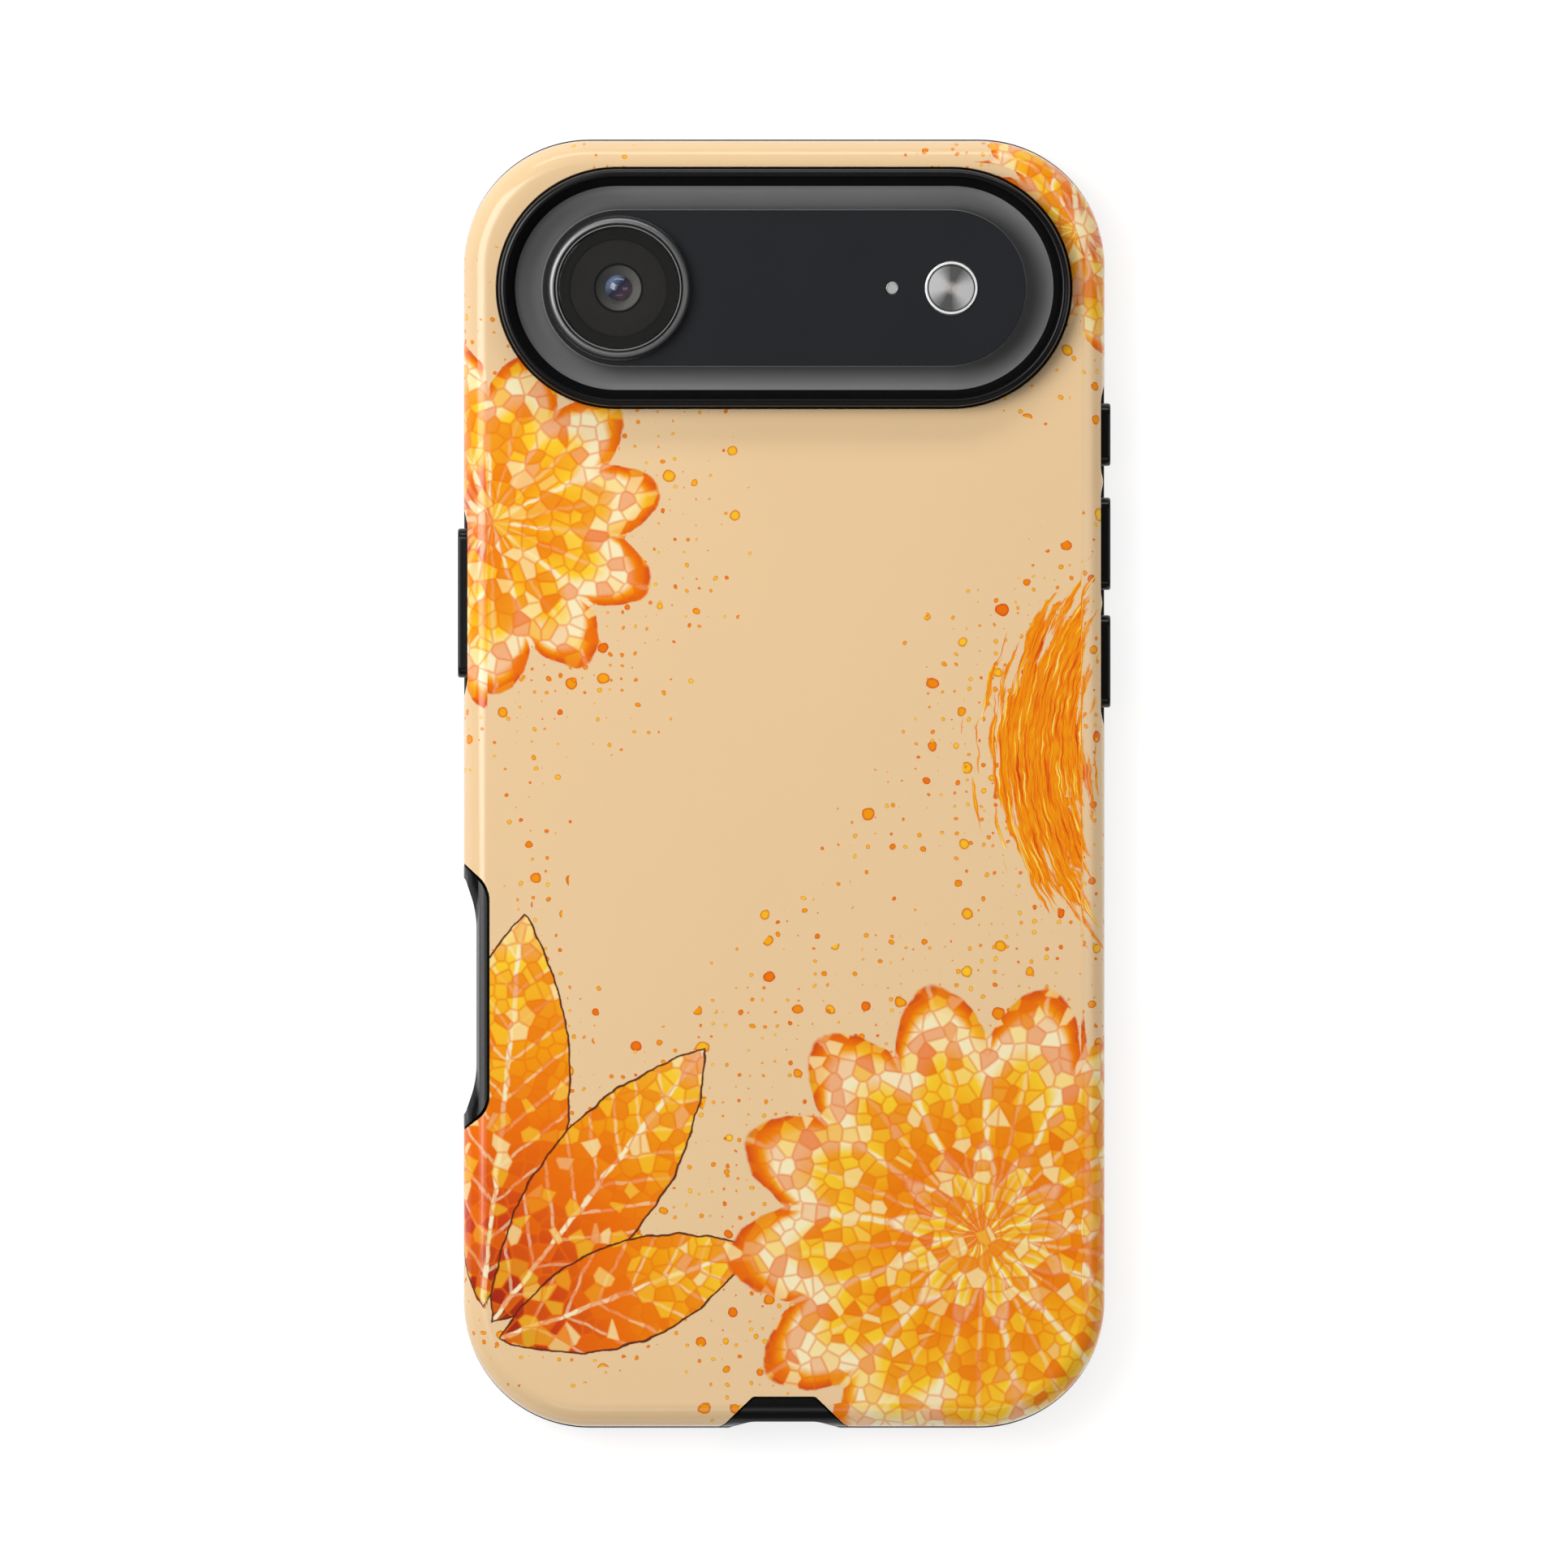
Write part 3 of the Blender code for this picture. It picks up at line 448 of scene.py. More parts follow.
def button_windows():
    start = LINER_WIDTH / 2
    face = SHELL_WIDTH / 2 - SCOOP_DEPTH - start
    return [
        flared_bar(
            f"window_{name}",
            (length + 2 * WINDOW_CLEARANCE, BUTTON_HEIGHT + 2 * WINDOW_CLEARANCE),
            face,
            BUTTON_REACH + OVERCUT - start,
            (side * start, y, PHONE_MID_Z),
            side * QUARTER_TURN,
        )
        for name, (side, y, length) in BUTTONS.items()
    ]


def button_covers():
    return [
        side_bar(
            f"cover_{name}",
            (length, BUTTON_HEIGHT),
            BUTTON_REACH - BUTTON_ROOT,
            (side * BUTTON_ROOT, y, PHONE_MID_Z),
            side * QUARTER_TURN,
            top_round=BUTTON_ROUND,
        )
        for name, (side, y, length) in BUTTONS.items()
    ]


def side_hollow(mouth, floor, gap=0.0):
    """Plan of a hollow in the left side, drawn in by a gap where it fills one."""
    outside = -BUTTON_REACH - OVERCUT
    mouth_x, mouth_start, mouth_end, mouth_reach = mouth
    floor_x, floor_start, floor_end, floor_reach = floor
    return [
        (outside, mouth_start - gap, 0),
        (mouth_x, mouth_start - gap, mouth_reach),
        (floor_x - gap, floor_start - gap, floor_reach),
        (floor_x - gap, floor_end + gap, floor_reach),
        (mouth_x, mouth_end + gap, mouth_reach),
        (outside, mouth_end + gap, 0),
    ]


def port_notch(gap=0.0):
    """Plan of the notch over the charging port, open past the bottom edge."""
    mouth_y = -SHELL_LENGTH / 2 - PORT_MOUTH_MARGIN
    half_floor = PORT_NOTCH_HALF_FLOOR - gap / 2
    half_mouth = PORT_NOTCH_HALF_MOUTH - gap / 2
    return mirrored(
        [
            (half_mouth + OVERCUT, mouth_y - OVERCUT, 0),
            (half_mouth + OVERCUT, mouth_y, 0),
            (half_mouth, mouth_y, PORT_NOTCH_MOUTH_REACH),
            (half_floor, PORT_NOTCH_Y - gap, PORT_NOTCH_FLOOR_REACH),
        ]
    )


def notch_pad(name, corners):
    """Rubber that fills a notch of the shell and follows the shell's rounded back edge."""
    pad = prism(f"{name}_pad", corners, LINER_FOOT_Z, SHELL_BACK_Z)
    envelope = prism(
        f"{name}_envelope",
        rectangle(SHELL_WIDTH, SHELL_LENGTH, SHELL_CORNER),
        0,
        SHELL_BACK_Z - PAD_DROP,
        CORNER_STEPS,
        top_round=SHELL_FILLET,
    )
    return combine(pad, "INTERSECT", [envelope])


def thumb_dish():
    """Cutter that dishes the side pad towards the control slot and bevels its top edge."""
    dish = side_hollow(DISH_MOUTH, DISH_FLOOR)
    ridge = side_hollow(RIDGE_MOUTH, RIDGE_FLOOR)
    sections = [(dish, -OVERCUT), (dish, BEVEL_Z), (ridge, RIDGE_Z), (ridge, RIDGE_Z + OVERCUT)]
    return loft("thumb_dish", sections, ROUND_STEPS)


def port_dip():
    mouth_y = -FLANGE_LENGTH / 2
    corners = mirrored(
        [
            (PORT_DIP_HALF_MOUTH, mouth_y - OVERCUT, 0),
            (PORT_DIP_HALF_MOUTH, mouth_y - PORT_MOUTH_MARGIN, 0),
            (PORT_DIP_HALF_FLOOR, PORT_DIP_Y, PORT_DIP_FLOOR_REACH),
        ]
    )
    return prism("port_dip", corners, -OVERCUT, SHELL_BACK_Z + OVERCUT, ROUND_STEPS)


def opening_section(inset, z):
    return pill(OPENING_LENGTH - 2 * inset, OPENING_WIDTH - 2 * inset), z


def camera_opening():
    """Cutter of the shell's camera opening, eased at the shell's back."""
    sections = [opening_section(0, PHONE_MID_Z)]
    for inset, drop in quarter_round(EDGE_ROUND, SMALL_STEPS):
        sections.append(opening_section(-inset, SHELL_BACK_Z - drop))
    sections.append(opening_section(-EDGE_ROUND, SHELL_BACK_Z + OVERCUT))
    return loft("camera_opening", sections, PILL_STEPS, at_camera())


def shell_speaker_slots():
    start = LINER_LENGTH / 2
    return [
        flared_bar(
            f"shell_speaker_{side}",
            SPEAKER_SLOT,
            SHELL_LENGTH / 2 - start,
            FLANGE_LENGTH / 2 + OVERCUT - start,
            (side * SPEAKER_X, -start, PHONE_MID_Z),
        )
        for side in (-1, 1)
    ]


def shell_body():
    shell = prism(
        "printed_shell",
        rectangle(SHELL_WIDTH, SHELL_LENGTH, SHELL_CORNER),
        SHELL_FOOT_Z,
        SHELL_BACK_Z,
        CORNER_STEPS,
        top_round=SHELL_FILLET,
        foot_round=SHELL_FOOT_ROUND,
    )
    inside = rectangle(
        SHELL_WIDTH - 2 * SHELL_WALL, SHELL_LENGTH - 2 * SHELL_WALL, SHELL_CORNER - SHELL_WALL
    )
    hollow = prism(
        "shell_hollow",
        inside,
        0,
        SHELL_BACK_Z - SHELL_BACK_THICKNESS,
        CORNER_STEPS,
        top_round=SHELL_FILLET - SHELL_WALL,
    )
    above = SHELL_BACK_Z + OVERCUT
    cutters = [
        hollow,
        camera_opening(),
        prism("control_notch", side_hollow(NOTCH_MOUTH, NOTCH_FLOOR), 0, above, ROUND_STEPS),
        prism("port_notch", port_notch(), 0, above, ROUND_STEPS),
        scoop_cutter(-1),
        scoop_cutter(1),
    ]
    return combine(shell, "DIFFERENCE", cutters + button_windows() + shell_speaker_slots())


def unfolded(place):
    """Where a point of the shell lies on the flat sheet of the print, in millimetres."""
    arc_x = SHELL_WIDTH / 2 - SHELL_CORNER
    arc_y = SHELL_LENGTH / 2 - SHELL_CORNER
    core = Vector((max(-arc_x, min(arc_x, place.x)), max(-arc_y, min(arc_y, place.y)), 0))
    out = Vector((place.x, place.y, 0)) - core
    bend = SHELL_CORNER - SHELL_FILLET
    if out.length <= bend:
        return place / MM
    sunk = SHELL_BACK_Z - place.z
    turn = min(QUARTER_TURN, atan2(out.length - bend, max(0.0, SHELL_FILLET - sunk)))
    wall = max(0.0, sunk - SHELL_FILLET)
    return (core + out.normalized() * (bend + SHELL_FILLET * turn + wall)) / MM


def lay_print(shell):
    """Store each point's place on the print's sheet, so the print wraps round the edges."""
    layer = shell.data.attributes.new("print_place", "FLOAT_VECTOR", "POINT")
    for vert in shell.data.vertices:
        layer.data[vert.index].vector = unfolded(vert.co)
    return shell


def camera_rim():
    sections = [opening_section(FIT, LINER_BACK_Z - RIM_ROOT)]
    for inset, drop in quarter_round(RIM_ROUND, ROUND_STEPS):
        sections.append(opening_section(FIT + inset, RIM_TOP_Z - drop))
    return loft("camera_rim", sections, PILL_STEPS, at_camera())


def rim_hole():
    """Tapered hole through the rim, flared at its crest."""
    foot = PHONE_BACK_Z + FIT
    sections = [
        opening_section(RIM_FOOT_INSET, foot - OVERCUT),
        opening_section(RIM_FOOT_INSET, foot),
    ]
    for inset, drop in quarter_round(RIM_INNER_ROUND, ROUND_STEPS):
        sections.append(opening_section(RIM_CREST_INSET - inset, RIM_TOP_Z - drop))
    crest = RIM_CREST_INSET - RIM_INNER_ROUND
    sections.append(opening_section(crest, RIM_TOP_Z + OVERCUT))
    return loft("rim_hole", sections, PILL_STEPS, at_camera())


def liner_speaker_slots():
    narrower = tuple(extent - 2 * FIT for extent in SPEAKER_SLOT)
    start = PHONE_LENGTH / 2
    reach = FLANGE_LENGTH / 2 + OVERCUT - start
    slots = []
    for side in (-1, 1):
        spot = (side * SPEAKER_X, -start, PHONE_MID_Z)
        slots.append(side_bar(f"liner_speaker_{side}", narrower, reach, spot))
    return slots


def liner_additions():
    flange = prism(
        "flange",
        rectangle(FLANGE_WIDTH, FLANGE_LENGTH, SHELL_CORNER),
        0,
        FLANGE_TOP_Z,
        CORNER_STEPS,
        foot_round=FLANGE_ROUND,
        top_round=FLANGE_ROUND / 2,
    )
    pads = [
        notch_pad("control", side_hollow(NOTCH_MOUTH, NOTCH_FLOOR, FIT)),
        notch_pad("port", port_notch(FIT)),
    ]
    return [flange, camera_rim()] + pads + button_covers()


def liner_cutters():
    cavity = prism(
        "cavity",
        rectangle(PHONE_WIDTH + 2 * FIT, PHONE_LENGTH + 2 * FIT, PHONE_CORNER + FIT),
        LIP_THICKNESS,
        PHONE_BACK_Z + FIT,
        CORNER_STEPS,
        top_round=FRAME_ROUND,
    )
    window_plan = rectangle(
        PHONE_WIDTH - 2 * LIP_OVERLAP,
        PHONE_LENGTH - 2 * LIP_OVERLAP,
        PHONE_CORNER - LIP_OVERLAP,
    )
    window = prism("front_window", window_plan, -OVERCUT, SCREEN_FACE_Z, CORNER_STEPS)
    control_slot = side_bar(
        "control_slot",
        CONTROL_SLOT,
        BUTTON_REACH + OVERCUT - PHONE_WIDTH / 2,
        (-PHONE_WIDTH / 2, CONTROL_Y, PHONE_MID_Z),
        -QUARTER_TURN,
    )
    plug_opening = side_bar(
        "plug_opening",
        PLUG_OPENING,
        FLANGE_LENGTH / 2 + OVERCUT - PHONE_LENGTH / 2,
        (0, -PHONE_LENGTH / 2, PHONE_MID_Z),
    )
    cutters = [cavity, window, rim_hole(), thumb_dish(), port_dip(), control_slot, plug_opening]
    return cutters + liner_speaker_slots()


def liner_body():
    liner = prism(
        "rubber_liner",
        rectangle(LINER_WIDTH, LINER_LENGTH, LINER_CORNER),
        LINER_FOOT_Z,
        LINER_BACK_Z,
        CORNER_STEPS,
        top_round=LINER_FILLET,
    )
    combine(liner, "UNION", liner_additions())
    return combine(liner, "DIFFERENCE", liner_cutters())


def port_cutter():
    """Charging port with the tongue left standing in its middle."""
    floor_y = PORT_DEPTH - PHONE_LENGTH / 2
    port = side_bar("port", PORT, PORT_DEPTH + OVERCUT, (0, floor_y, PHONE_MID_Z))
    tongue = side_bar(
        "port_tongue",
        TONGUE,
        PORT_DEPTH + OVERCUT - TONGUE_SETBACK,
        (0, floor_y + OVERCUT, PHONE_MID_Z),
        radius=TONGUE_ROUND,
    )
    return combine(port, "DIFFERENCE", [tongue])


def speaker_holes(side):
    """Row of holes in the phone's bottom edge, inside the case's speaker slot."""
    holes = []
    for index in range(SPEAKER_HOLES):
        x = side * SPEAKER_X + (index - (SPEAKER_HOLES - 1) / 2) * SPEAKER_HOLE_PITCH
        spot = (x, SPEAKER_HOLE_DEPTH - PHONE_LENGTH / 2, PHONE_MID_Z)
        size = (SPEAKER_HOLE, SPEAKER_HOLE)
        holes.append(side_bar(f"speaker_hole_{side}_{index}", size, 2 * OVERCUT, spot))
    return holes


def frame_body():
    body = prism(
        "phone_body",
        rectangle(PHONE_WIDTH, PHONE_LENGTH, PHONE_CORNER),
        frame_low.z,
        frame_high.z,
        CORNER_STEPS,
        top_round=FRAME_ROUND,
        foot_round=FRAME_ROUND,
    )
    half_x = screen_high.x + SEAT_FIT
    half_y = screen_high.y + SEAT_FIT
    pocket = rectangle(2 * half_x, 2 * half_y, PHONE_CORNER - (PHONE_WIDTH / 2 - half_x))
    screen_floor = screen_high.z + SEAT_FIT
    back_floor = panel_low.z - SEAT_FIT
    control_pocket = side_bar(
        "control_pocket",
        (
            control_high.y - control_low.y + 2 * FINE_FIT,
            control_high.z - control_low.z + 2 * FINE_FIT,
        ),
        OVERCUT + SEAT_FIT + OVERCUT,
        (control_high.x + SEAT_FIT, CONTROL_Y, PHONE_MID_Z),
        -QUARTER_TURN,
    )
    cutters = [
        prism("screen_pocket", pocket, 0, screen_floor, CORNER_STEPS),
        prism("panel_pocket", pocket, back_floor, PHONE_BACK_Z + OVERCUT, CORNER_STEPS),
        port_cutter(),
        control_pocket,
    ]
    return combine(body, "DIFFERENCE", cutters + speaker_holes(-1) + speaker_holes(1))


def panel_plan(node_high):
    radius = PHONE_CORNER - (PHONE_WIDTH / 2 - node_high.x)
    return rectangle(2 * node_high.x, 2 * node_high.y, radius)


def screen_body():
    return prism(
        "front_screen",
        panel_plan(screen_high),
        screen_low.z,
        screen_high.z,
        CORNER_STEPS,
        foot_round=SEAT_FIT,
    )


def back_body():
    """Grey back with the hollow-sided shoulder that lifts the camera plate."""
    panel = prism(
        "phone_back", panel_plan(panel_high), panel_low.z, PHONE_BACK_Z, CORNER_STEPS
    )
    rise = DECK_Z - PHONE_BACK_Z - SHOULDER_FOOT
    run_x = SHOULDER_LENGTH - PLATE_LENGTH - 2 * PLATE_EDGE
    run_y = SHOULDER_WIDTH - PLATE_WIDTH - 2 * PLATE_EDGE
    sections = [(pill(SHOULDER_LENGTH, SHOULDER_WIDTH), PHONE_BACK_Z - FIT)]
    for step in range(SHOULDER_STEPS + 1):
        angle = QUARTER_TURN * step / SHOULDER_STEPS
        plan = pill(SHOULDER_LENGTH - run_x * sin(angle), SHOULDER_WIDTH - run_y * sin(angle))
        sections.append((plan, PHONE_BACK_Z + SHOULDER_FOOT + rise * (1 - cos(angle))))
    shoulder = loft("shoulder", sections, PILL_STEPS, at_camera())
    return combine(panel, "UNION", [shoulder])


def plate_body():
    sections = [(pill(PLATE_LENGTH, PLATE_WIDTH), SEAT_Z)]
    for inset, drop in quarter_round(PLATE_EDGE, SMALL_STEPS):
        plan = pill(PLATE_LENGTH - 2 * inset, PLATE_WIDTH - 2 * inset)
        sections.append((plan, PLATE_TOP_Z - drop))
    plate = loft("black_plate", sections, PILL_STEPS, at_camera())
    low, high = SEAT_Z - OVERCUT, PLATE_TOP_Z + OVERCUT
    holes = []
    for name, hole_x, radius in (
        ("lens_hole", LENS_X, LENS_RADIUS + FINE_FIT),
        ("flash_hole", FLASH_X, FLASH_RADIUS + FINE_FIT),
        ("mic_hole", MIC_X, MIC_RADIUS + FINE_FIT),
    ):
        holes.append(turned(name, [(0, high), (radius, high), (radius, low), (0, low)], hole_x))
    return combine(plate, "DIFFERENCE", holes)


def outer_lens_ring():
    inner = LENS_RADIUS - LENS_BAND
    profile = [
        (LENS_RADIUS, SEAT_Z),
        (inner, SEAT_Z),
        (inner, LENS_TOP_Z - LENS_LIP_DROP),
        (inner + LENS_LIP, LENS_TOP_Z),
    ]
    rounding = quarter_round(LENS_BEVEL, ROUND_STEPS)
    profile += [(LENS_RADIUS - inset, LENS_TOP_Z - drop) for inset, drop in reversed(rounding)]
    return turned("outer_ring", profile, LENS_X)


def thin_lens_ring():
    inner = INNER_RING_RADIUS - INNER_RING_BAND
    top = inner_ring_high.z
    profile = [
        (INNER_RING_RADIUS, SEAT_Z),
        (inner, SEAT_Z),
        (inner, top - INNER_RING_BEVEL),
        (inner + INNER_RING_BEVEL, top),
        (INNER_RING_RADIUS - INNER_RING_BEVEL, top),
        (INNER_RING_RADIUS, top - INNER_RING_BEVEL),
    ]
    return turned("thin_ring", profile, LENS_X)


def cover_glass():
    profile = [
        (0, LENS_TOP_Z - GLASS_CROWN_DROP),
        (GLASS_RADIUS - GLASS_RIM, LENS_TOP_Z - GLASS_RIM_DROP),
        (GLASS_RADIUS, LENS_TOP_Z - GLASS_EDGE_DROP),
        (GLASS_RADIUS, glass_low.z),
        (0, glass_low.z),
    ]
    return turned("cover_glass", profile, LENS_X)


def black_barrel():
    """Barrel with fine steps round its funnel, down to the well of the front element."""
    top = barrel_high.z
    well = element_low.z - ELEMENT_GAP
    profile = [
        (0, well),
        (ELEMENT_RADIUS + ELEMENT_GAP, well),
        (FUNNEL_RADIUS, top - FUNNEL_LIP),
        (BARREL_STEP_RADIUS, top - BARREL_STEP),
        (BARREL_STEP_RADIUS + BARREL_STEP_RUN, top),
        (GLASS_RADIUS, top),
        (GLASS_RADIUS, SEAT_Z),
        (0, SEAT_Z),
    ]
    return turned("black_barrel", profile, LENS_X)


def front_element():
    foot = element_low.z
    rise = element_high.z - foot
    angles = [QUARTER_TURN * step / DOME_STEPS for step in range(DOME_STEPS + 1)]
    profile = [(ELEMENT_RADIUS * sin(angle), foot + rise * cos(angle)) for angle in angles]
    return turned("front_element", profile + [(0, foot)], LENS_X)


def flash_bezel():
    inner = FLASH_RADIUS - FLASH_BAND
    top = flash_high.z
    profile = [(FLASH_RADIUS, SEAT_Z), (inner, SEAT_Z), (inner, top)]
    rounding = quarter_round(FLASH_BEVEL, SMALL_STEPS)
    profile += [(FLASH_RADIUS - inset, top - drop) for inset, drop in reversed(rounding)]
    return turned("flash_bezel", profile, FLASH_X)


def flash_disc():
    profile = [
        (0, flash_lens_high.z),
        (FLASH_LENS_RADIUS - FLASH_LENS_RIM, PLATE_TOP_Z + FLASH_LENS_RIM_RISE),
        (FLASH_LENS_RADIUS, PLATE_TOP_Z - FLASH_LENS_RIM_RISE),
        (FLASH_LENS_RADIUS, SEAT_Z),
        (0, SEAT_Z),
    ]
    return turned("flash_disc", profile, FLASH_X)


def mic_disc():
    profile = [
        (0, PLATE_TOP_Z),
        (MIC_DISC_RADIUS, PLATE_TOP_Z),
        (MIC_CREST_RADIUS, mic_high.z),
        (MIC_RADIUS, PLATE_TOP_Z + MIC_EDGE_RISE),
        (MIC_RADIUS, SEAT_Z),
        (0, SEAT_Z),
    ]
    return turned("mic_disc", profile, MIC_X)


def control_body():
    size = (control_high.y - control_low.y, control_high.z - control_low.z)
    spot = (control_high.x, CONTROL_Y, PHONE_MID_Z)
    depth = control_high.x - control_low.x
    return side_bar("side_key", size, depth, spot, -QUARTER_TURN, top_round=EDGE_ROUND)


class Paint:
    """One material. A source is a number, a colour, a vector or another node's output."""

    def __init__(self, name, **values):
        self.material = bpy.data.materials.new(name)
        self.material.use_nodes = True
        self.nodes = self.material.node_tree.nodes
        self.links = self.material.node_tree.links
        self.shader = self.nodes["Principled BSDF"]
        for socket, value in values.items():
            self.feed(self.shader.inputs[socket.replace("_", " ")], value)

    def feed(self, socket, source):
        if isinstance(source, bpy.types.NodeSocket):
            self.links.new(source, socket)
        else:
            socket.default_value = source

    def add(self, kind, inputs, output=0, **settings):
        made = self.nodes.new("ShaderNode" + kind)
        for name, value in settings.items():
            setattr(made, name, value)
        for key, source in inputs.items():
            self.feed(made.inputs[key], source)
        return made.outputs[output]

    def object_place(self):
        return self.add("TexCoord", {}, "Object")

    def math(self, operation, *sources):
        return self.add("Math", dict(enumerate(sources)), operation=operation)

    def vector(self, operation, *sources, output="Vector"):
        return self.add("VectorMath", dict(enumerate(sources)), output, operation=operation)

    def scaled(self, vector, factor):
        return self.add("VectorMath", {0: vector, "Scale": factor}, operation="SCALE")

    def part(self, vector, axis):
        return self.add("SeparateXYZ", {0: vector}, axis)

    def step(self, value, low, high):
        """Smooth way from 0 at low to 1 at high, where high may be the smaller."""
        ends = {"Value": value, "From Min": low, "From Max": high}
        return self.add("MapRange", ends, interpolation_type="SMOOTHSTEP")

    def fade(self, value, low, high):
        """Smooth fall from 1 at low to 0 at high."""
        return self.math("SUBTRACT", 1.0, self.step(value, low, high))

    def share(self, value, low, high):
        """Even rise from 0 at low to 1 at high."""
        return self.add("MapRange", {"Value": value, "From Min": low, "From Max": high})

    def spread(self, value, low, high):
        """Turn 0 to 1 into low to high."""
        return self.add("MapRange", {"Value": value, "To Min": low, "To Max": high})

    def noise(self, where, scale, detail=2.0, output="Fac"):
        inputs = {"Vector": where, "Scale": scale, "Detail": detail}
        return self.add("TexNoise", inputs, output)

    def cells(self, where, scale, output="Color", feature="F1", **options):
        inputs = {"Vector": where, "Scale": scale, **options}
        settings = {"feature": feature, "voronoi_dimensions": "2D"}
        return self.add("TexVoronoi", inputs, output, **settings)

    def mix(self, factor, first, second):
        return self.add("Mix", {0: factor, 6: first, 7: second}, 2, data_type="RGBA")

    def over(self, colour, ink, mask, share=1.0):
        """Lay an ink over a colour where the mask says, and only its share of it."""
        return self.mix(self.math("MULTIPLY", mask, share), colour, ink)

    def ramp(self, value, stops):
        made = self.nodes.new("ShaderNodeValToRGB")
        self.feed(made.inputs[0], value)
        elements = made.color_ramp.elements
        while len(elements) < len(stops):
            elements.new(1.0)
        for element, (position, colour) in zip(elements, stops):
            element.position = position
            element.color = colour
        return made.outputs[0]

    def bump(self, height, strength, distance):
        inputs = {"Strength": strength, "Distance": distance, "Height": height}
        return self.add("Bump", inputs)

    def set(self, **sources):
        for socket, source in sources.items():
            self.feed(self.shader.inputs[socket.replace("_", " ")], source)
        return self.material


def srgb(red, green, blue):
    """Scene colour of a display colour from 0 to 255."""
    low_end, low_slope, lift, power = 0.04045, 12.92, 0.055, 2.4
    shares = (value / 255 for value in (red, green, blue))
    linear = [
        share / low_slope if share <= low_end else ((share + lift) / (1 + lift)) ** power
        for share in shares
    ]
    return (*linear, 1.0)


def grey(level):
    return (level, level, level, 1.0)


# Inks of the print
GROUND = srgb(236, 202, 156)
CREAM = srgb(250, 236, 190)
YELLOW = srgb(252, 206, 48)
AMBER = srgb(247, 160, 14)
ORANGE = srgb(238, 112, 6)
VERMILION = srgb(206, 62, 18)
DEEP_RED = srgb(150, 28, 18)
UMBER = srgb(96, 40, 18)

PETAL_STOPS = [
    (0.0, DEEP_RED),
    (0.07, VERMILION),
    (0.2, ORANGE),
    (0.5, AMBER),
    (0.72, YELLOW),
    (0.8, CREAM),
    (0.88, CREAM),
    (0.92, AMBER),
    (0.95, ORANGE),
    (1.0, VERMILION),
]
HEART_STOPS = [
    (0.0, YELLOW),
    (0.2, AMBER),
    (0.38, VERMILION),
    (0.6, ORANGE),
    (0.84, YELLOW),
    (0.93, CREAM),
    (1.0, ORANGE),
]
LEAF_STOPS = [
    (0.0, DEEP_RED),
    (0.22, VERMILION),
    (0.45, ORANGE),
    (0.68, AMBER),
    (0.88, YELLOW),
    (1.0, CREAM),
]
STREAK_STOPS = [
    (0.3, VERMILION),
    (0.42, ORANGE),
    (0.5, AMBER),
    (0.56, ORANGE),
    (0.64, YELLOW),
    (0.72, CREAM),
]
DROP_STOPS = [(0.0, ORANGE), (0.5, AMBER), (1.0, YELLOW)]

# Layout of the print in millimetres: middle, radius, petals, turn
FLOWERS = [
    ((25.0, -57.0), 34.0, 13, 0.15),
    ((-37.0, 33.0), 24.0, 11, 0.4),
    ((37.0, 70.0), 17.0, 11, 0.1),
]
# Leaves: root, direction in degrees, length, width
LEAVES = [
    ((-38.0, -66.0), 84.0, 50.0, 17.0),
    ((-37.0, -68.0), 52.0, 44.0, 15.0),
    ((-36.0, -70.0), 20.0, 34.0, 13.0),
]
# Bands of streaks that curve round a middle to their right: middle, radius, half width,
# half angle
STREAKS = [((66.0, 4.0), 35.0, 7.5, 0.72)]

# Below, a pair holds the values between which a line or an edge of the print fades, and
# a share says how strongly the ink covers what lies under it.

# Ground, and the sway of all that is drawn on it
GROUND_CLOUDS = 0.06
GROUND_SHADES = (0.985, 1.015)
SWAY_SCALE = 0.35
SWAY_REACH = 1.1

# Tiles: their number along a millimetre, the softness of their corners and their seams
TILE_SCALE = 0.55
TILE_SOFTNESS = 0.12
TILE_SEAM = (0.02, 0.14)
TILE_SEAM_SHARE = 0.5
# Shades of single tiles: channel of the tile's chance colour, the levels where the shade
# starts and is full, its share, its ink
TILE_SHADES = [
    (2, 0.5, 0.2, 0.6, ORANGE),
    (1, 0.62, 0.74, 0.55, YELLOW),
    (1, 0.84, 0.92, 0.5, CREAM),
    (0, 0.78, 0.9, 0.6, ORANGE),
]

# Petals of the outer ring and of the heart, with a pale rib and pale seams
PETAL_POINT = 1.7
PETAL_WAIST = 0.8
PETAL_EDGE = (0.985, 1.0)
PETAL_RIB = (0.1, 0.5)
PETAL_RIB_SHARE = 0.35
PETAL_SEAM = (0.2, 0.6)
PETAL_SEAM_SHARE = 0.85
HEART_SIZE = 0.46
HEART_WAIST = 0.7

# Leaves
LEAF_BULGE = 0.9
LEAF_FULLNESS = 1.75
LEAF_EDGE = (0.0, 0.15)
LEAF_OUTLINE = (0.25, 0.45)
VEIN_SPACING = 2.2
VEIN = (0.15, 0.4)
VEIN_SHARE = 0.45

# Streaks: strands and hairs along and across the band
STRAND_GRAIN = (2.2, 6.0, 1.0)
STRAND_GAIN = 2.4
HAIR_GRAIN = (3.0, 22.0, 1.0)
RAGGEDNESS = 0.35
STREAK_EDGE = (0.12, 0.2)

# Drops: cells along a millimetre, and sizes as shares of a cell
DROP_SCALES = (0.24, 0.62)
DROP_SIZES = (0.03, 0.2)
DROP_CHANCE = 0.6
DROP_EDGE = (0.92, 1.0)
DROP_RIM = (0.55, 0.85)
DROP_RIM_SHARE = 0.6
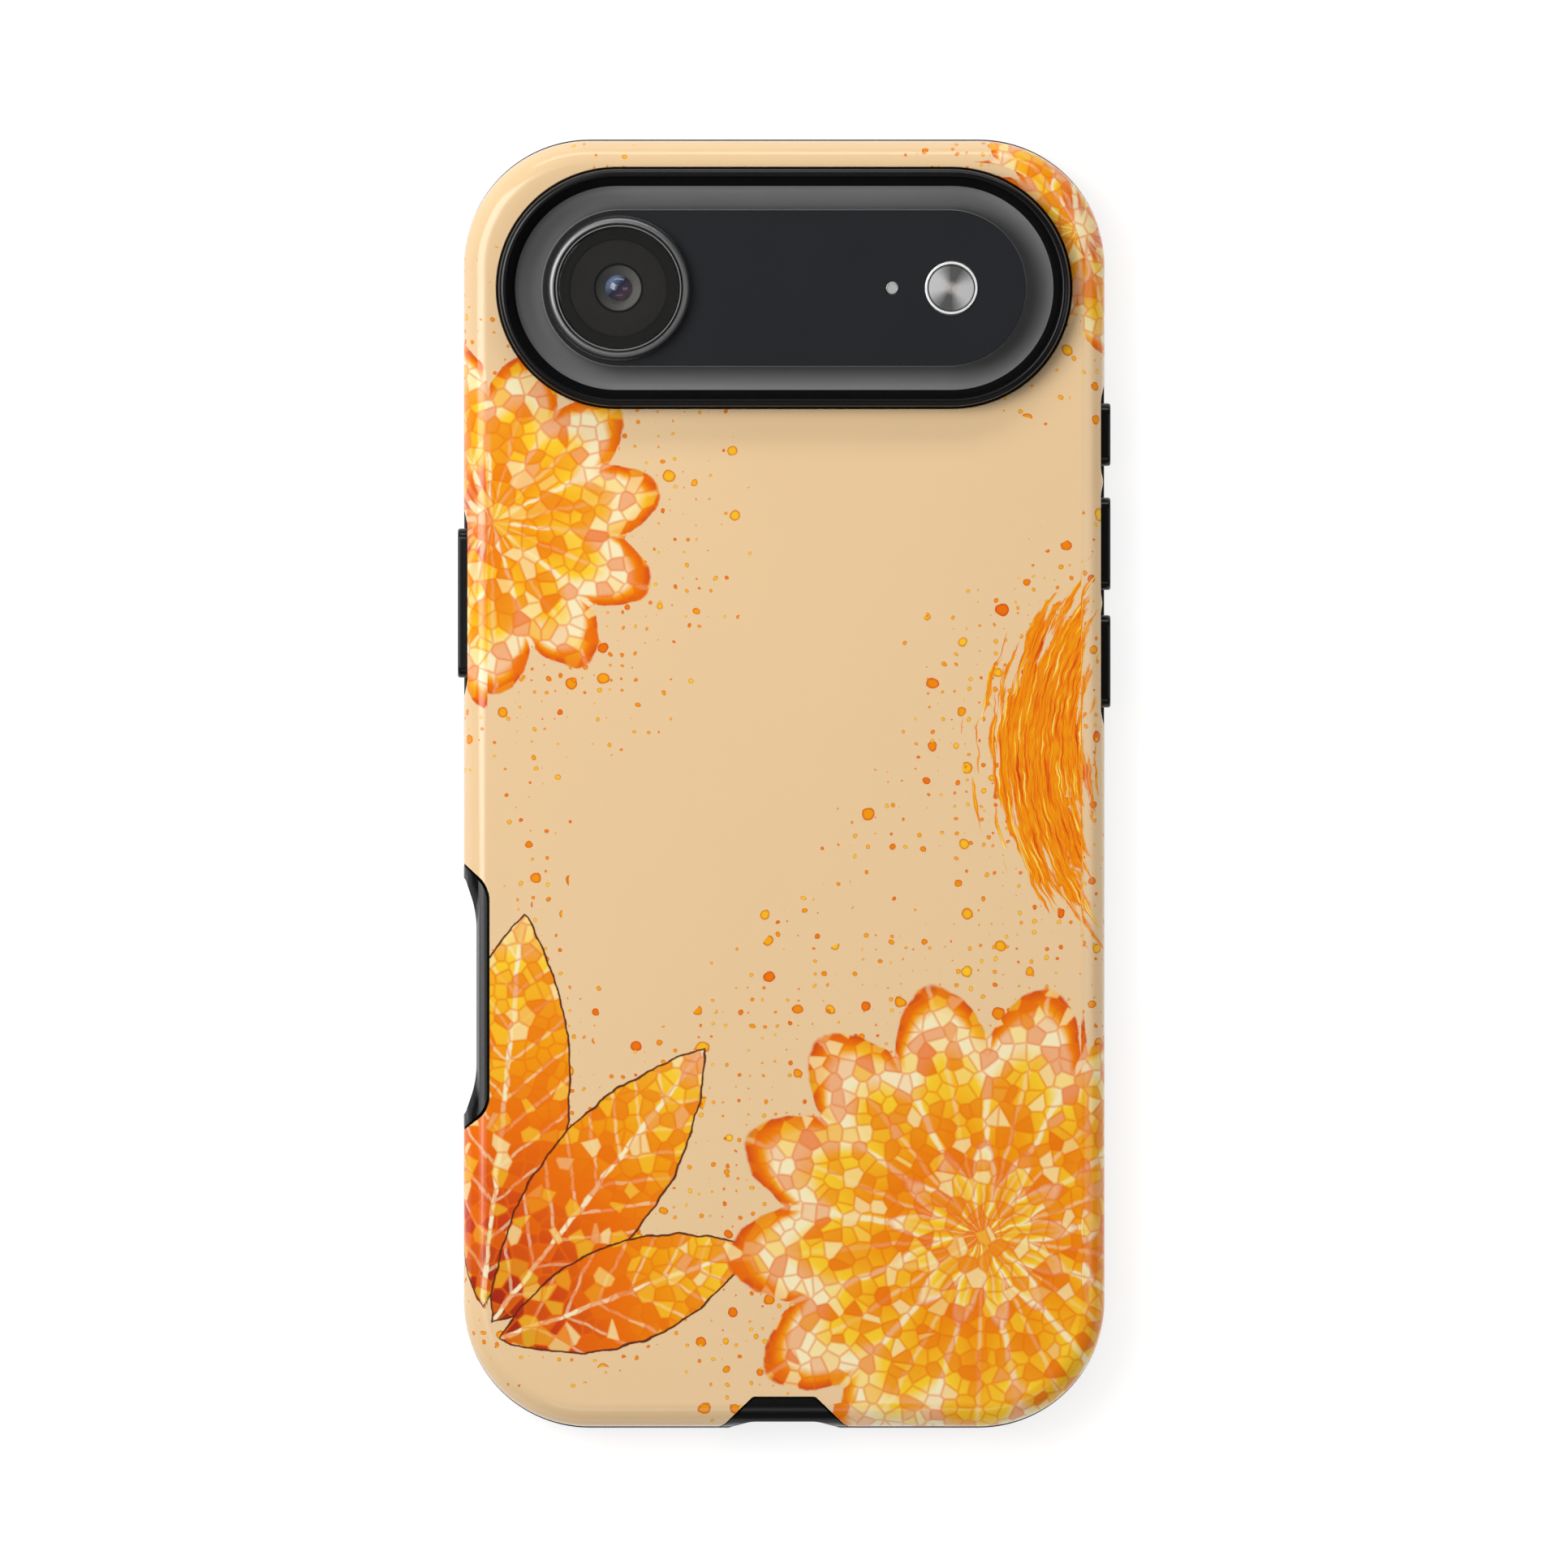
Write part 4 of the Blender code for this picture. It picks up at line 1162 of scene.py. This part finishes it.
# Drops round the motifs: their reach past a flower and a leaf in millimetres and round a
# band in its half widths, and the share of the cells that hold one
FLOWER_SPRAY = 14.0
FLOWER_SPRAY_SHARE = 0.7
LEAF_SPRAY = 7.0
LEAF_SPRAY_SHARE = 0.6
STREAK_SPRAY = (-1.8, 0.2)
STREAK_SPRAY_SHARE = 0.9

# Gloss over the print
GLOSS_LEVEL = 0.35
GLOSS_HAZE = (0.07, 0.14)
GLOSS_HAZE_SCALE = 1.2
GLOSS_RIPPLE_SCALE = 0.9
GLOSS_RIPPLE_STRENGTH = 0.04
GLOSS_RIPPLE_DEPTH = 0.02 * MM


def tiled(paint, colour, place):
    """Break a colour field into small hand-laid tiles."""
    shade = paint.cells(place, TILE_SCALE, "Color", "SMOOTH_F1", Smoothness=TILE_SOFTNESS)
    for channel, start, full, share, ink in TILE_SHADES:
        mask = paint.step(paint.part(shade, channel), start, full)
        colour = paint.over(colour, ink, mask, share)
    seam = paint.cells(place, TILE_SCALE, "Distance", "DISTANCE_TO_EDGE")
    return paint.over(colour, ORANGE, paint.fade(seam, *TILE_SEAM), TILE_SEAM_SHARE)


def petal_ring(paint, reach, angle, radius, petals, waist, stops):
    """Mask and colour of one ring of pointed petals."""
    half = pi / petals
    away = paint.math("PINGPONG", angle, half)
    share = paint.math("POWER", paint.math("DIVIDE", away, half), PETAL_POINT)
    edge = paint.spread(share, radius, radius * waist)
    depth = paint.math("DIVIDE", reach, edge)
    seam = paint.math("MULTIPLY", reach, paint.math("SUBTRACT", half, away))
    rib = paint.math("MULTIPLY", reach, away)
    colour = paint.ramp(depth, stops)
    colour = paint.over(colour, CREAM, paint.fade(rib, *PETAL_RIB), PETAL_RIB_SHARE)
    colour = paint.over(colour, CREAM, paint.fade(seam, *PETAL_SEAM), PETAL_SEAM_SHARE)
    return paint.fade(depth, *PETAL_EDGE), colour


# Each motif gives its mask, its colour and the share of drops round it. Its outline
# follows the swaying place and its tiles the even one.
def flower(paint, drawn, place, centre, radius, petals, turn):
    """Round flower with an outer ring of petals and a heart."""
    offset = paint.vector("SUBTRACT", drawn, (*centre, 0.0))
    reach = paint.vector("LENGTH", offset, output="Value")
    angle = paint.math("ARCTAN2", paint.part(offset, 1), paint.part(offset, 0))
    angle = paint.math("ADD", angle, turn)
    mask, colour = petal_ring(paint, reach, angle, radius, petals, PETAL_WAIST, PETAL_STOPS)
    between = paint.math("ADD", angle, pi / petals)
    heart_mask, heart_colour = petal_ring(
        paint, reach, between, radius * HEART_SIZE, petals, HEART_WAIST, HEART_STOPS
    )
    colour = tiled(paint, paint.mix(heart_mask, colour, heart_colour), place)
    spray = paint.fade(reach, radius, radius + FLOWER_SPRAY)
    return mask, colour, paint.math("MULTIPLY", spray, FLOWER_SPRAY_SHARE)


def leaf(paint, drawn, place, root, direction, length, width):
    """Pointed leaf that grows from its root, with a fine dark outline."""
    offset = paint.vector("SUBTRACT", drawn, (*root, 0.0))
    inputs = {"Vector": offset, "Angle": -radians(direction)}
    laid = paint.add("VectorRotate", inputs, rotation_type="Z_AXIS")
    along = paint.math("DIVIDE", paint.part(laid, 0), length)
    across = paint.math("ABSOLUTE", paint.part(laid, 1))
    left = paint.math("SUBTRACT", 1.0, along)
    bulge = paint.math("MAXIMUM", paint.math("MULTIPLY", along, left), 0.0)
    bulge = paint.math("POWER", bulge, LEAF_BULGE)
    half = paint.math("MULTIPLY", bulge, width * LEAF_FULLNESS)
    margin = paint.math("SUBTRACT", half, across)
    lean = paint.math("SUBTRACT", paint.part(laid, 0), across)
    vein = paint.math("PINGPONG", lean, VEIN_SPACING)
    colour = paint.ramp(along, LEAF_STOPS)
    colour = paint.over(colour, CREAM, paint.fade(vein, *VEIN), VEIN_SHARE)
    colour = paint.over(colour, CREAM, paint.fade(across, *VEIN))
    colour = tiled(paint, colour, place)
    colour = paint.over(colour, UMBER, paint.fade(margin, *LEAF_OUTLINE))
    spray = paint.math("MULTIPLY", paint.step(margin, -LEAF_SPRAY, 0.0), LEAF_SPRAY_SHARE)
    return paint.step(margin, *LEAF_EDGE), colour, spray


def streak_band(paint, drawn, centre, radius, half_width, half_angle):
    """Curved band of dry brush streaks."""
    offset = paint.vector("SUBTRACT", drawn, (*centre, 0.0))
    reach = paint.vector("LENGTH", offset, output="Value")
    back = paint.math("MULTIPLY", paint.part(offset, 0), -1.0)
    angle = paint.math("ARCTAN2", paint.part(offset, 1), back)
    along = paint.math("DIVIDE", angle, half_angle)
    across = paint.math("DIVIDE", paint.math("SUBTRACT", reach, radius), half_width)
    taper = paint.math("SUBTRACT", 1.0, paint.math("MULTIPLY", along, along))
    body = paint.math("SUBTRACT", taper, paint.math("ABSOLUTE", across))
    grain = paint.add("CombineXYZ", {0: along, 1: across})
    strand = paint.noise(paint.vector("MULTIPLY", grain, STRAND_GRAIN), 1.0, detail=4.0)
    hair = paint.noise(paint.vector("MULTIPLY", grain, HAIR_GRAIN), 1.0, detail=3.0)
    level = paint.math("SUBTRACT", body, STRAND_GAIN / 2)
    solid = paint.math("MULTIPLY_ADD", strand, STRAND_GAIN, level)
    ragged = paint.math("ADD", solid, paint.spread(hair, -RAGGEDNESS, RAGGEDNESS))
    spray = paint.math("MULTIPLY", paint.step(body, *STREAK_SPRAY), STREAK_SPRAY_SHARE)
    return paint.step(ragged, *STREAK_EDGE), paint.ramp(hair, STREAK_STOPS), spray


def drops(paint, drawn, scale, density):
    """Mask and colour of round drops, more of them where the density is high."""
    cell = paint.cells(drawn, scale, Randomness=DROP_CHANCE).node
    tint = cell.outputs["Color"]
    size = paint.spread(paint.part(tint, 0), *DROP_SIZES)
    ratio = paint.math("DIVIDE", cell.outputs["Distance"], size)
    kept = paint.math("LESS_THAN", paint.part(tint, 1), density)
    colour = paint.ramp(paint.part(tint, 2), DROP_STOPS)
    colour = paint.over(colour, VERMILION, paint.step(ratio, *DROP_RIM), DROP_RIM_SHARE)
    return paint.math("MULTIPLY", paint.fade(ratio, *DROP_EDGE), kept), colour


def printed_plastic():
    """Peach ground with flowers, leaves, streaks and drops, under a clear gloss."""
    paint = Paint("printed_shell", Specular_IOR_Level=GLOSS_LEVEL)
    place = paint.add("Attribute", {}, "Vector", attribute_name="print_place")
    sway = paint.noise(place, SWAY_SCALE, detail=3.0, output="Color")
    sway = paint.vector("SUBTRACT", sway, (0.5, 0.5, 0.5))
    drawn = paint.vector("ADD", place, paint.scaled(sway, SWAY_REACH))
    motifs = [streak_band(paint, drawn, *layout) for layout in STREAKS]
    motifs += [leaf(paint, drawn, place, *layout) for layout in LEAVES]
    motifs += [flower(paint, drawn, place, *layout) for layout in FLOWERS]
    density = 0.0
    for mask, ink, spray in motifs:
        density = paint.math("MAXIMUM", spray, density)

    clouds = paint.noise(place, GROUND_CLOUDS)
    colour = paint.scaled(GROUND[:3], paint.spread(clouds, *GROUND_SHADES))
    for scale in DROP_SCALES:
        mask, ink = drops(paint, drawn, scale, density)
        colour = paint.mix(mask, colour, ink)
    for mask, ink, spray in motifs:
        colour = paint.mix(mask, colour, ink)

    haze = paint.noise(place, GLOSS_HAZE_SCALE, detail=4.0)
    ripple = paint.noise(place, GLOSS_RIPPLE_SCALE)
    return paint.set(
        Base_Color=colour,
        Roughness=paint.spread(haze, *GLOSS_HAZE),
        Normal=paint.bump(ripple, GLOSS_RIPPLE_STRENGTH, GLOSS_RIPPLE_DEPTH),
    )


# Finishes: clouds, grains and rings are counted along a metre
GRAIN_STRENGTH = 0.35
RINGS = 9000.0
RING_STRENGTH = 0.2
RING_DEPTH = 0.005 * MM
RUBBER_CLOUDS = 90.0
RUBBER_GRAIN = 2600.0
RUBBER_GRAIN_DEPTH = 0.004 * MM
RUBBER_BLACKS = (grey(0.0015), grey(0.003))
RUBBER_SATIN = (0.18, 0.28)
RUBBER_MATT_EXTRA = 0.4
RUBBER_GLOSS = (0.03, 0.3)
# Painted reflection on the flash: turn of its two bright fans
FLASH_PAINTED_GLINT_TURN = radians(14)
FLASH_RINGS = 7000.0
FLASH_RING_STRENGTH = 0.25
FLASH_RING_BLUR = 0.12
# Greys of the flash's painted reflection, from the dark gaps to the bright fans
FLASH_PAINTED_GLINT_STOPS = [(0.25, grey(0.08)), (0.6, grey(0.25)), (0.92, grey(0.54))]
FLASH_ROUGHNESS = (0.25, 0.45)
FLASH_MIDDLE = (0.3 * MM, 1.1 * MM)
FLASH_MIDDLE_TINT = srgb(176, 170, 160)
FLASH_MIDDLE_SHARE = 0.7
# Painted reflection on the front element: direction and reach of its painted highlight
COATING_PAINTED_GLINT_DIRECTION = (0.7, -0.7, 0.0)
COATING_PAINTED_GLINT_REACH = 1.2 * MM
COATING_CLOUDS = 900.0
COATING_CLOUD_SHARE = 0.3
# Colours of the element's painted reflection: blue-white painted highlight, dark blue, violet
COATING_PAINTED_GLINT_STOPS = [
    (0.0, srgb(150, 176, 226)),
    (0.45, srgb(52, 60, 92)),
    (1.0, srgb(122, 84, 112)),
]
# Painted light in the funnel: its lit side, the reach of the change and its greys from shaded
# to lit
FUNNEL_PAINTED_LIGHT_DIRECTION = (1.0, -0.2, 0.0)
FUNNEL_PAINTED_LIGHT_REACH = 3 * MM
FUNNEL_PAINTED_SHADE_AND_LIGHT = (srgb(84, 84, 82), srgb(146, 144, 140))
FUNNEL_EDGE = (0.36, 0.385)
BARREL_CLOUDS = 900.0
BARREL_SHADES = (0.9, 1.1)
BARREL_CLOUD_STRENGTH = 0.1
BARREL_CLOUD_DEPTH = 0.001 * MM
BARREL_STOPS = [
    (0.0, grey(0.1)),
    (0.385, grey(0.004)),
    (0.4, grey(0.004)),
    (0.42, srgb(56, 55, 52)),
    (0.78, srgb(53, 52, 49)),
    (0.81, srgb(36, 36, 34)),
    (1.0, srgb(40, 40, 38)),
]
SMEARS = 260.0
SMEAR_TINTS = (srgb(30, 30, 28), srgb(40, 39, 37))
SMEAR_ROUGHNESS = (0.02, 0.07)


def mottled(name, colours, rough, clouds, grain, depth, **values):
    """Plain finish with uneven colour and roughness over a fine grain."""
    paint = Paint(name, **values)
    place = paint.object_place()
    fine = paint.noise(place, grain, detail=3.0)
    return paint.set(
        Base_Color=paint.mix(paint.noise(place, clouds, detail=4.0), *colours),
        Roughness=paint.spread(fine, *rough),
        Normal=paint.bump(fine, GRAIN_STRENGTH, depth),
    )


def black_rubber():
    """Satin black rubber, matt on the walls inside the camera rim."""
    paint = Paint("black_rubber")
    place = paint.object_place()
    straight = (OPENING_LENGTH - OPENING_WIDTH) / 2
    along = paint.math("ABSOLUTE", paint.part(place, 0))
    along = paint.math("MAXIMUM", paint.math("SUBTRACT", along, straight), 0.0)
    across = paint.math("SUBTRACT", paint.part(place, 1), CAMERA_Y)
    offset = paint.add("CombineXYZ", {0: along, 1: across})
    reach = paint.vector("LENGTH", offset, output="Value")
    crest = OPENING_WIDTH / 2 - RIM_CREST_INSET + RIM_INNER_ROUND
    outside = paint.step(reach, crest - RIM_INNER_ROUND, crest)
    clouds = paint.noise(place, RUBBER_CLOUDS, detail=4.0)
    fine = paint.noise(place, RUBBER_GRAIN, detail=3.0)
    matt = paint.math("ADD", paint.spread(fine, *RUBBER_SATIN), RUBBER_MATT_EXTRA)
    return paint.set(
        Base_Color=paint.mix(clouds, *RUBBER_BLACKS),
        Roughness=paint.math("MULTIPLY_ADD", outside, -RUBBER_MATT_EXTRA, matt),
        Specular_IOR_Level=paint.spread(outside, *RUBBER_GLOSS),
        Normal=paint.bump(fine, GRAIN_STRENGTH, RUBBER_GRAIN_DEPTH),
    )


def from_axis(paint, centre_x):
    """Offset from a round piece's axis, and the distance from it."""
    offset = paint.vector("SUBTRACT", paint.object_place(), (centre_x, CAMERA_Y, 0.0))
    flat = paint.vector("MULTIPLY", offset, (1.0, 1.0, 0.0))
    return offset, paint.vector("LENGTH", flat, output="Value")


def brushed(name, colours, rough, centre_x, **values):
    """Turned metal with fine rings round its own middle."""
    paint = Paint(name, **values)
    offset, reach = from_axis(paint, centre_x)
    rings = paint.noise(paint.add("CombineXYZ", {0: reach}), RINGS)
    return paint.set(
        Base_Color=paint.mix(rings, *colours),
        Roughness=paint.spread(rings, *rough),
        Normal=paint.bump(rings, RING_STRENGTH, RING_DEPTH),
    )


def flash_silver():
    """Turned reflector: fine rings, and two bright fans painted into its colour as the
    reflection that its grooves throw.
    """
    paint = Paint("flash_silver", Metallic=0.3, Coat_Weight=0.3, Coat_Roughness=0.03)
    offset, reach = from_axis(paint, FLASH_X)
    angle = paint.math("ARCTAN2", paint.part(offset, 1), paint.part(offset, 0))
    # Painted reflection: two bright fans across the disc, darker between them
    painted_glint = paint.math("COSINE", paint.math("ADD", angle, FLASH_PAINTED_GLINT_TURN))
    painted_glint = paint.math("ABSOLUTE", painted_glint)
    rings = paint.noise(paint.add("CombineXYZ", {0: reach}), FLASH_RINGS)
    painted_glint = paint.math("ADD", painted_glint, paint.spread(rings, -FLASH_RING_BLUR, FLASH_RING_BLUR))
    colour = paint.ramp(painted_glint, FLASH_PAINTED_GLINT_STOPS)
    middle = paint.fade(reach, *FLASH_MIDDLE)
    return paint.set(
        Base_Color=paint.over(colour, FLASH_MIDDLE_TINT, middle, FLASH_MIDDLE_SHARE),
        Roughness=paint.spread(rings, *FLASH_ROUGHNESS),
        Normal=paint.bump(rings, FLASH_RING_STRENGTH, RING_DEPTH),
    )


def coated_element():
    """Front element with a violet and blue coating that changes across it, painted as
    reflection: a blue-white painted highlight at its upper left, dark blue in the middle,
    violet at its lower right.
    """
    paint = Paint("element_coating", Roughness=0.03, IOR=1.7, Coat_Weight=1.0)
    offset, reach = from_axis(paint, LENS_X)
    # Painted highlight at the upper left, painted violet reflection at the lower right
    painted_light_slant = paint.vector("DOT_PRODUCT", offset, COATING_PAINTED_GLINT_DIRECTION, output="Value")
    tint = paint.ramp(paint.share(painted_light_slant, -COATING_PAINTED_GLINT_REACH, COATING_PAINTED_GLINT_REACH), COATING_PAINTED_GLINT_STOPS)
    clouds = paint.noise(paint.object_place(), COATING_CLOUDS)
    return paint.set(Base_Color=paint.over(tint, grey(0.01), clouds, COATING_CLOUD_SHARE))


def barrel_black():
    """Matt black in rings: dark rim, lighter disc, light funnel with a dark edge; across the
    funnel painted light makes it darker towards its left and lighter towards its right.
    """
    paint = Paint("barrel_black", Roughness=0.5, Specular_IOR_Level=0.1)
    offset, reach = from_axis(paint, LENS_X)
    share = paint.math("DIVIDE", reach, GLASS_RADIUS)
    # Painted light: the funnel is shaded towards its left and lit towards its right
    painted_light_slant = paint.vector("DOT_PRODUCT", offset, FUNNEL_PAINTED_LIGHT_DIRECTION, output="Value")
    lit_funnel = paint.mix(paint.share(painted_light_slant, -FUNNEL_PAINTED_LIGHT_REACH, FUNNEL_PAINTED_LIGHT_REACH), *FUNNEL_PAINTED_SHADE_AND_LIGHT)
    colour = paint.ramp(share, BARREL_STOPS)
    colour = paint.mix(paint.fade(share, *FUNNEL_EDGE), colour, lit_funnel)
    clouds = paint.noise(paint.object_place(), BARREL_CLOUDS, detail=3.0)
    return paint.set(
        Base_Color=paint.scaled(colour, paint.spread(clouds, *BARREL_SHADES)),
        Normal=paint.bump(clouds, BARREL_CLOUD_STRENGTH, BARREL_CLOUD_DEPTH),
    )


def clear_glass():
    paint = Paint("lens_glass", Specular_IOR_Level=0.35, Alpha=0.2)
    smears = paint.noise(paint.object_place(), SMEARS, detail=3.0)
    return paint.set(
        Base_Color=paint.mix(smears, *SMEAR_TINTS),
        Roughness=paint.spread(smears, *SMEAR_ROUGHNESS),
    )


shell = lay_print(shell_body())
finish_piece(shell, "outer_shell", printed_plastic())
finish_piece(liner_body(), "inner_liner", black_rubber())
satin_metal = mottled(
    "frame_metal",
    colours=(grey(0.12), grey(0.2)),
    rough=(0.25, 0.4),
    clouds=60.0,
    grain=3000.0,
    depth=0.006 * MM,
    Metallic=1.0,
)
finish_piece(frame_body(), "phone_frame", satin_metal)
front_glass = mottled(
    "screen_glass",
    colours=(grey(0.004), grey(0.008)),
    rough=(0.03, 0.07),
    clouds=40.0,
    grain=500.0,
    depth=0.001 * MM,
)
finish_piece(screen_body(), "screen_glass", front_glass)
satin_glass = mottled(
    "grey_back",
    colours=(grey(0.185), grey(0.22)),
    rough=(0.34, 0.44),
    clouds=70.0,
    grain=3500.0,
    depth=0.006 * MM,
    Metallic=0.1,
)
finish_piece(back_body(), "back_panel", satin_glass)
plate_glass = mottled(
    "plate_glass",
    colours=(srgb(33, 34, 37), srgb(38, 39, 42)),
    rough=(0.2, 0.28),
    clouds=50.0,
    grain=3000.0,
    depth=0.002 * MM,
    Specular_IOR_Level=0.15,
)
finish_piece(plate_body(), "camera_plate", plate_glass)
lens_metal = brushed(
    "lens_metal", (grey(0.16), grey(0.24)), (0.34, 0.46), LENS_X, Metallic=0.9
)
finish_piece(outer_lens_ring(), "lens_ring", lens_metal)
finish_piece(thin_lens_ring(), "lens_inner_ring", lens_metal)
finish_piece(cover_glass(), "lens_glass", clear_glass())
finish_piece(black_barrel(), "lens_barrel", barrel_black())
finish_piece(front_element(), "lens_element", coated_element())
flash_trim = brushed(
    "flash_trim", (grey(0.84), grey(0.94)), (0.2, 0.3), FLASH_X, Metallic=0.15
)
finish_piece(flash_bezel(), "flash_ring", flash_trim)
finish_piece(flash_disc(), "flash_lens", flash_silver())
mic_trim = brushed("mic_trim", (grey(0.42), grey(0.5)), (0.2, 0.35), MIC_X, Metallic=0.2)
finish_piece(mic_disc(), "mic_grille", mic_trim)
control_glass = mottled(
    "control_black",
    colours=(grey(0.01), grey(0.02)),
    rough=(0.1, 0.18),
    clouds=80.0,
    grain=3000.0,
    depth=0.002 * MM,
)
finish_piece(control_body(), "side_control", control_glass)


# Floor, camera and lights
FLOOR_SIZE = 6.0
FLOOR_Z = -0.02 * MM
FLOOR_GREYS = (grey(0.29), grey(0.31))
FLOOR_CLOUDS = 3.0
VIEW_HEIGHT = 0.8
VIEW_WIDTH = 197.49 * MM
VIEW_CENTRE = (-0.02 * MM, -0.05 * MM)

# Lights: name, place, width, length, power
LIGHTS = [
    ("key", (-0.39, 0.17, 0.58), 0.4, 0.4, 3.0),
    ("overhead", (-0.4, 0.15, 0.9), 0.6, 0.6, 2.0),
    ("top_strip", (0.0, 0.66, 0.36), 0.7, 0.16, 1.6),
    ("right_strip", (0.5, 0.0, 0.6), 0.2, 0.5, 0.5),
    ("bottom_strip", (0.05, -0.45, 0.55), 0.5, 0.15, 0.35),
]
# Brightness below the horizon and above it, and the heights between which it falls
HORIZON_LEVEL = 1.05
SKY_LEVEL = 0.15
HORIZON_BAND = (-0.04, 0.08)
# Glow of the floor under the phone and away from it, and where it changes
FLOOR_GLOW = 0.8
FAR_FLOOR_GLOW = 1.05
FLOOR_GLOW_RISE = (0.2, 0.8)


def add_floor():
    bm = bmesh.new()
    level = Matrix.Translation((0, 0, FLOOR_Z))
    bmesh.ops.create_grid(bm, x_segments=1, y_segments=1, size=FLOOR_SIZE / 2, matrix=level)
    mesh = bpy.data.meshes.new("floor")
    bm.to_mesh(mesh)
    bm.free()
    floor = bpy.data.objects.new("floor", mesh)
    bpy.context.scene.collection.objects.link(floor)
    paint = Paint("floor_white", Roughness=0.9, Emission_Color=srgb(255, 255, 255))
    place = paint.object_place()
    away = paint.step(paint.vector("LENGTH", place, output="Value"), *FLOOR_GLOW_RISE)
    white = paint.set(
        Base_Color=paint.mix(paint.noise(place, FLOOR_CLOUDS), *FLOOR_GREYS),
        Emission_Strength=paint.spread(away, FLOOR_GLOW, FAR_FLOOR_GLOW),
    )
    floor.data.materials.append(white)


def add_light(name, place, width, length, power):
    data = bpy.data.lights.new(name, "AREA")
    data.shape = "RECTANGLE"
    data.size = width
    data.size_y = length
    data.energy = power
    light = bpy.data.objects.new(name, data)
    light.location = place
    light.rotation_euler = Vector(place).to_track_quat("Z", "Y").to_euler()
    bpy.context.scene.collection.objects.link(light)


def add_sky():
    """White up to the horizon, like the floor of a studio, under a dim ceiling."""
    world = bpy.data.worlds.new("studio")
    world.use_nodes = True
    nodes, links = world.node_tree.nodes, world.node_tree.links
    place = nodes.new("ShaderNodeTexCoord")
    parts = nodes.new("ShaderNodeSeparateXYZ")
    level = nodes.new("ShaderNodeMapRange")
    ends = ("From Min", "From Max", "To Min", "To Max")
    for end, value in zip(ends, (*HORIZON_BAND, HORIZON_LEVEL, SKY_LEVEL)):
        level.inputs[end].default_value = value
    links.new(place.outputs["Generated"], parts.inputs[0])
    links.new(parts.outputs["Z"], level.inputs["Value"])
    sky = nodes["Background"]
    sky.inputs["Color"].default_value = (1.0, 1.0, 1.0, 1.0)
    links.new(level.outputs[0], sky.inputs["Strength"])
    bpy.context.scene.world = world


def add_camera():
    data = bpy.data.cameras.new("camera")
    data.type = "ORTHO"
    data.ortho_scale = VIEW_WIDTH
    camera = bpy.data.objects.new("camera", data)
    camera.location = (*VIEW_CENTRE, VIEW_HEIGHT)
    bpy.context.scene.collection.objects.link(camera)
    bpy.context.scene.camera = camera


add_floor()
for settings in LIGHTS:
    add_light(*settings)
add_sky()
add_camera()
bpy.context.scene.view_settings.view_transform = "Standard"
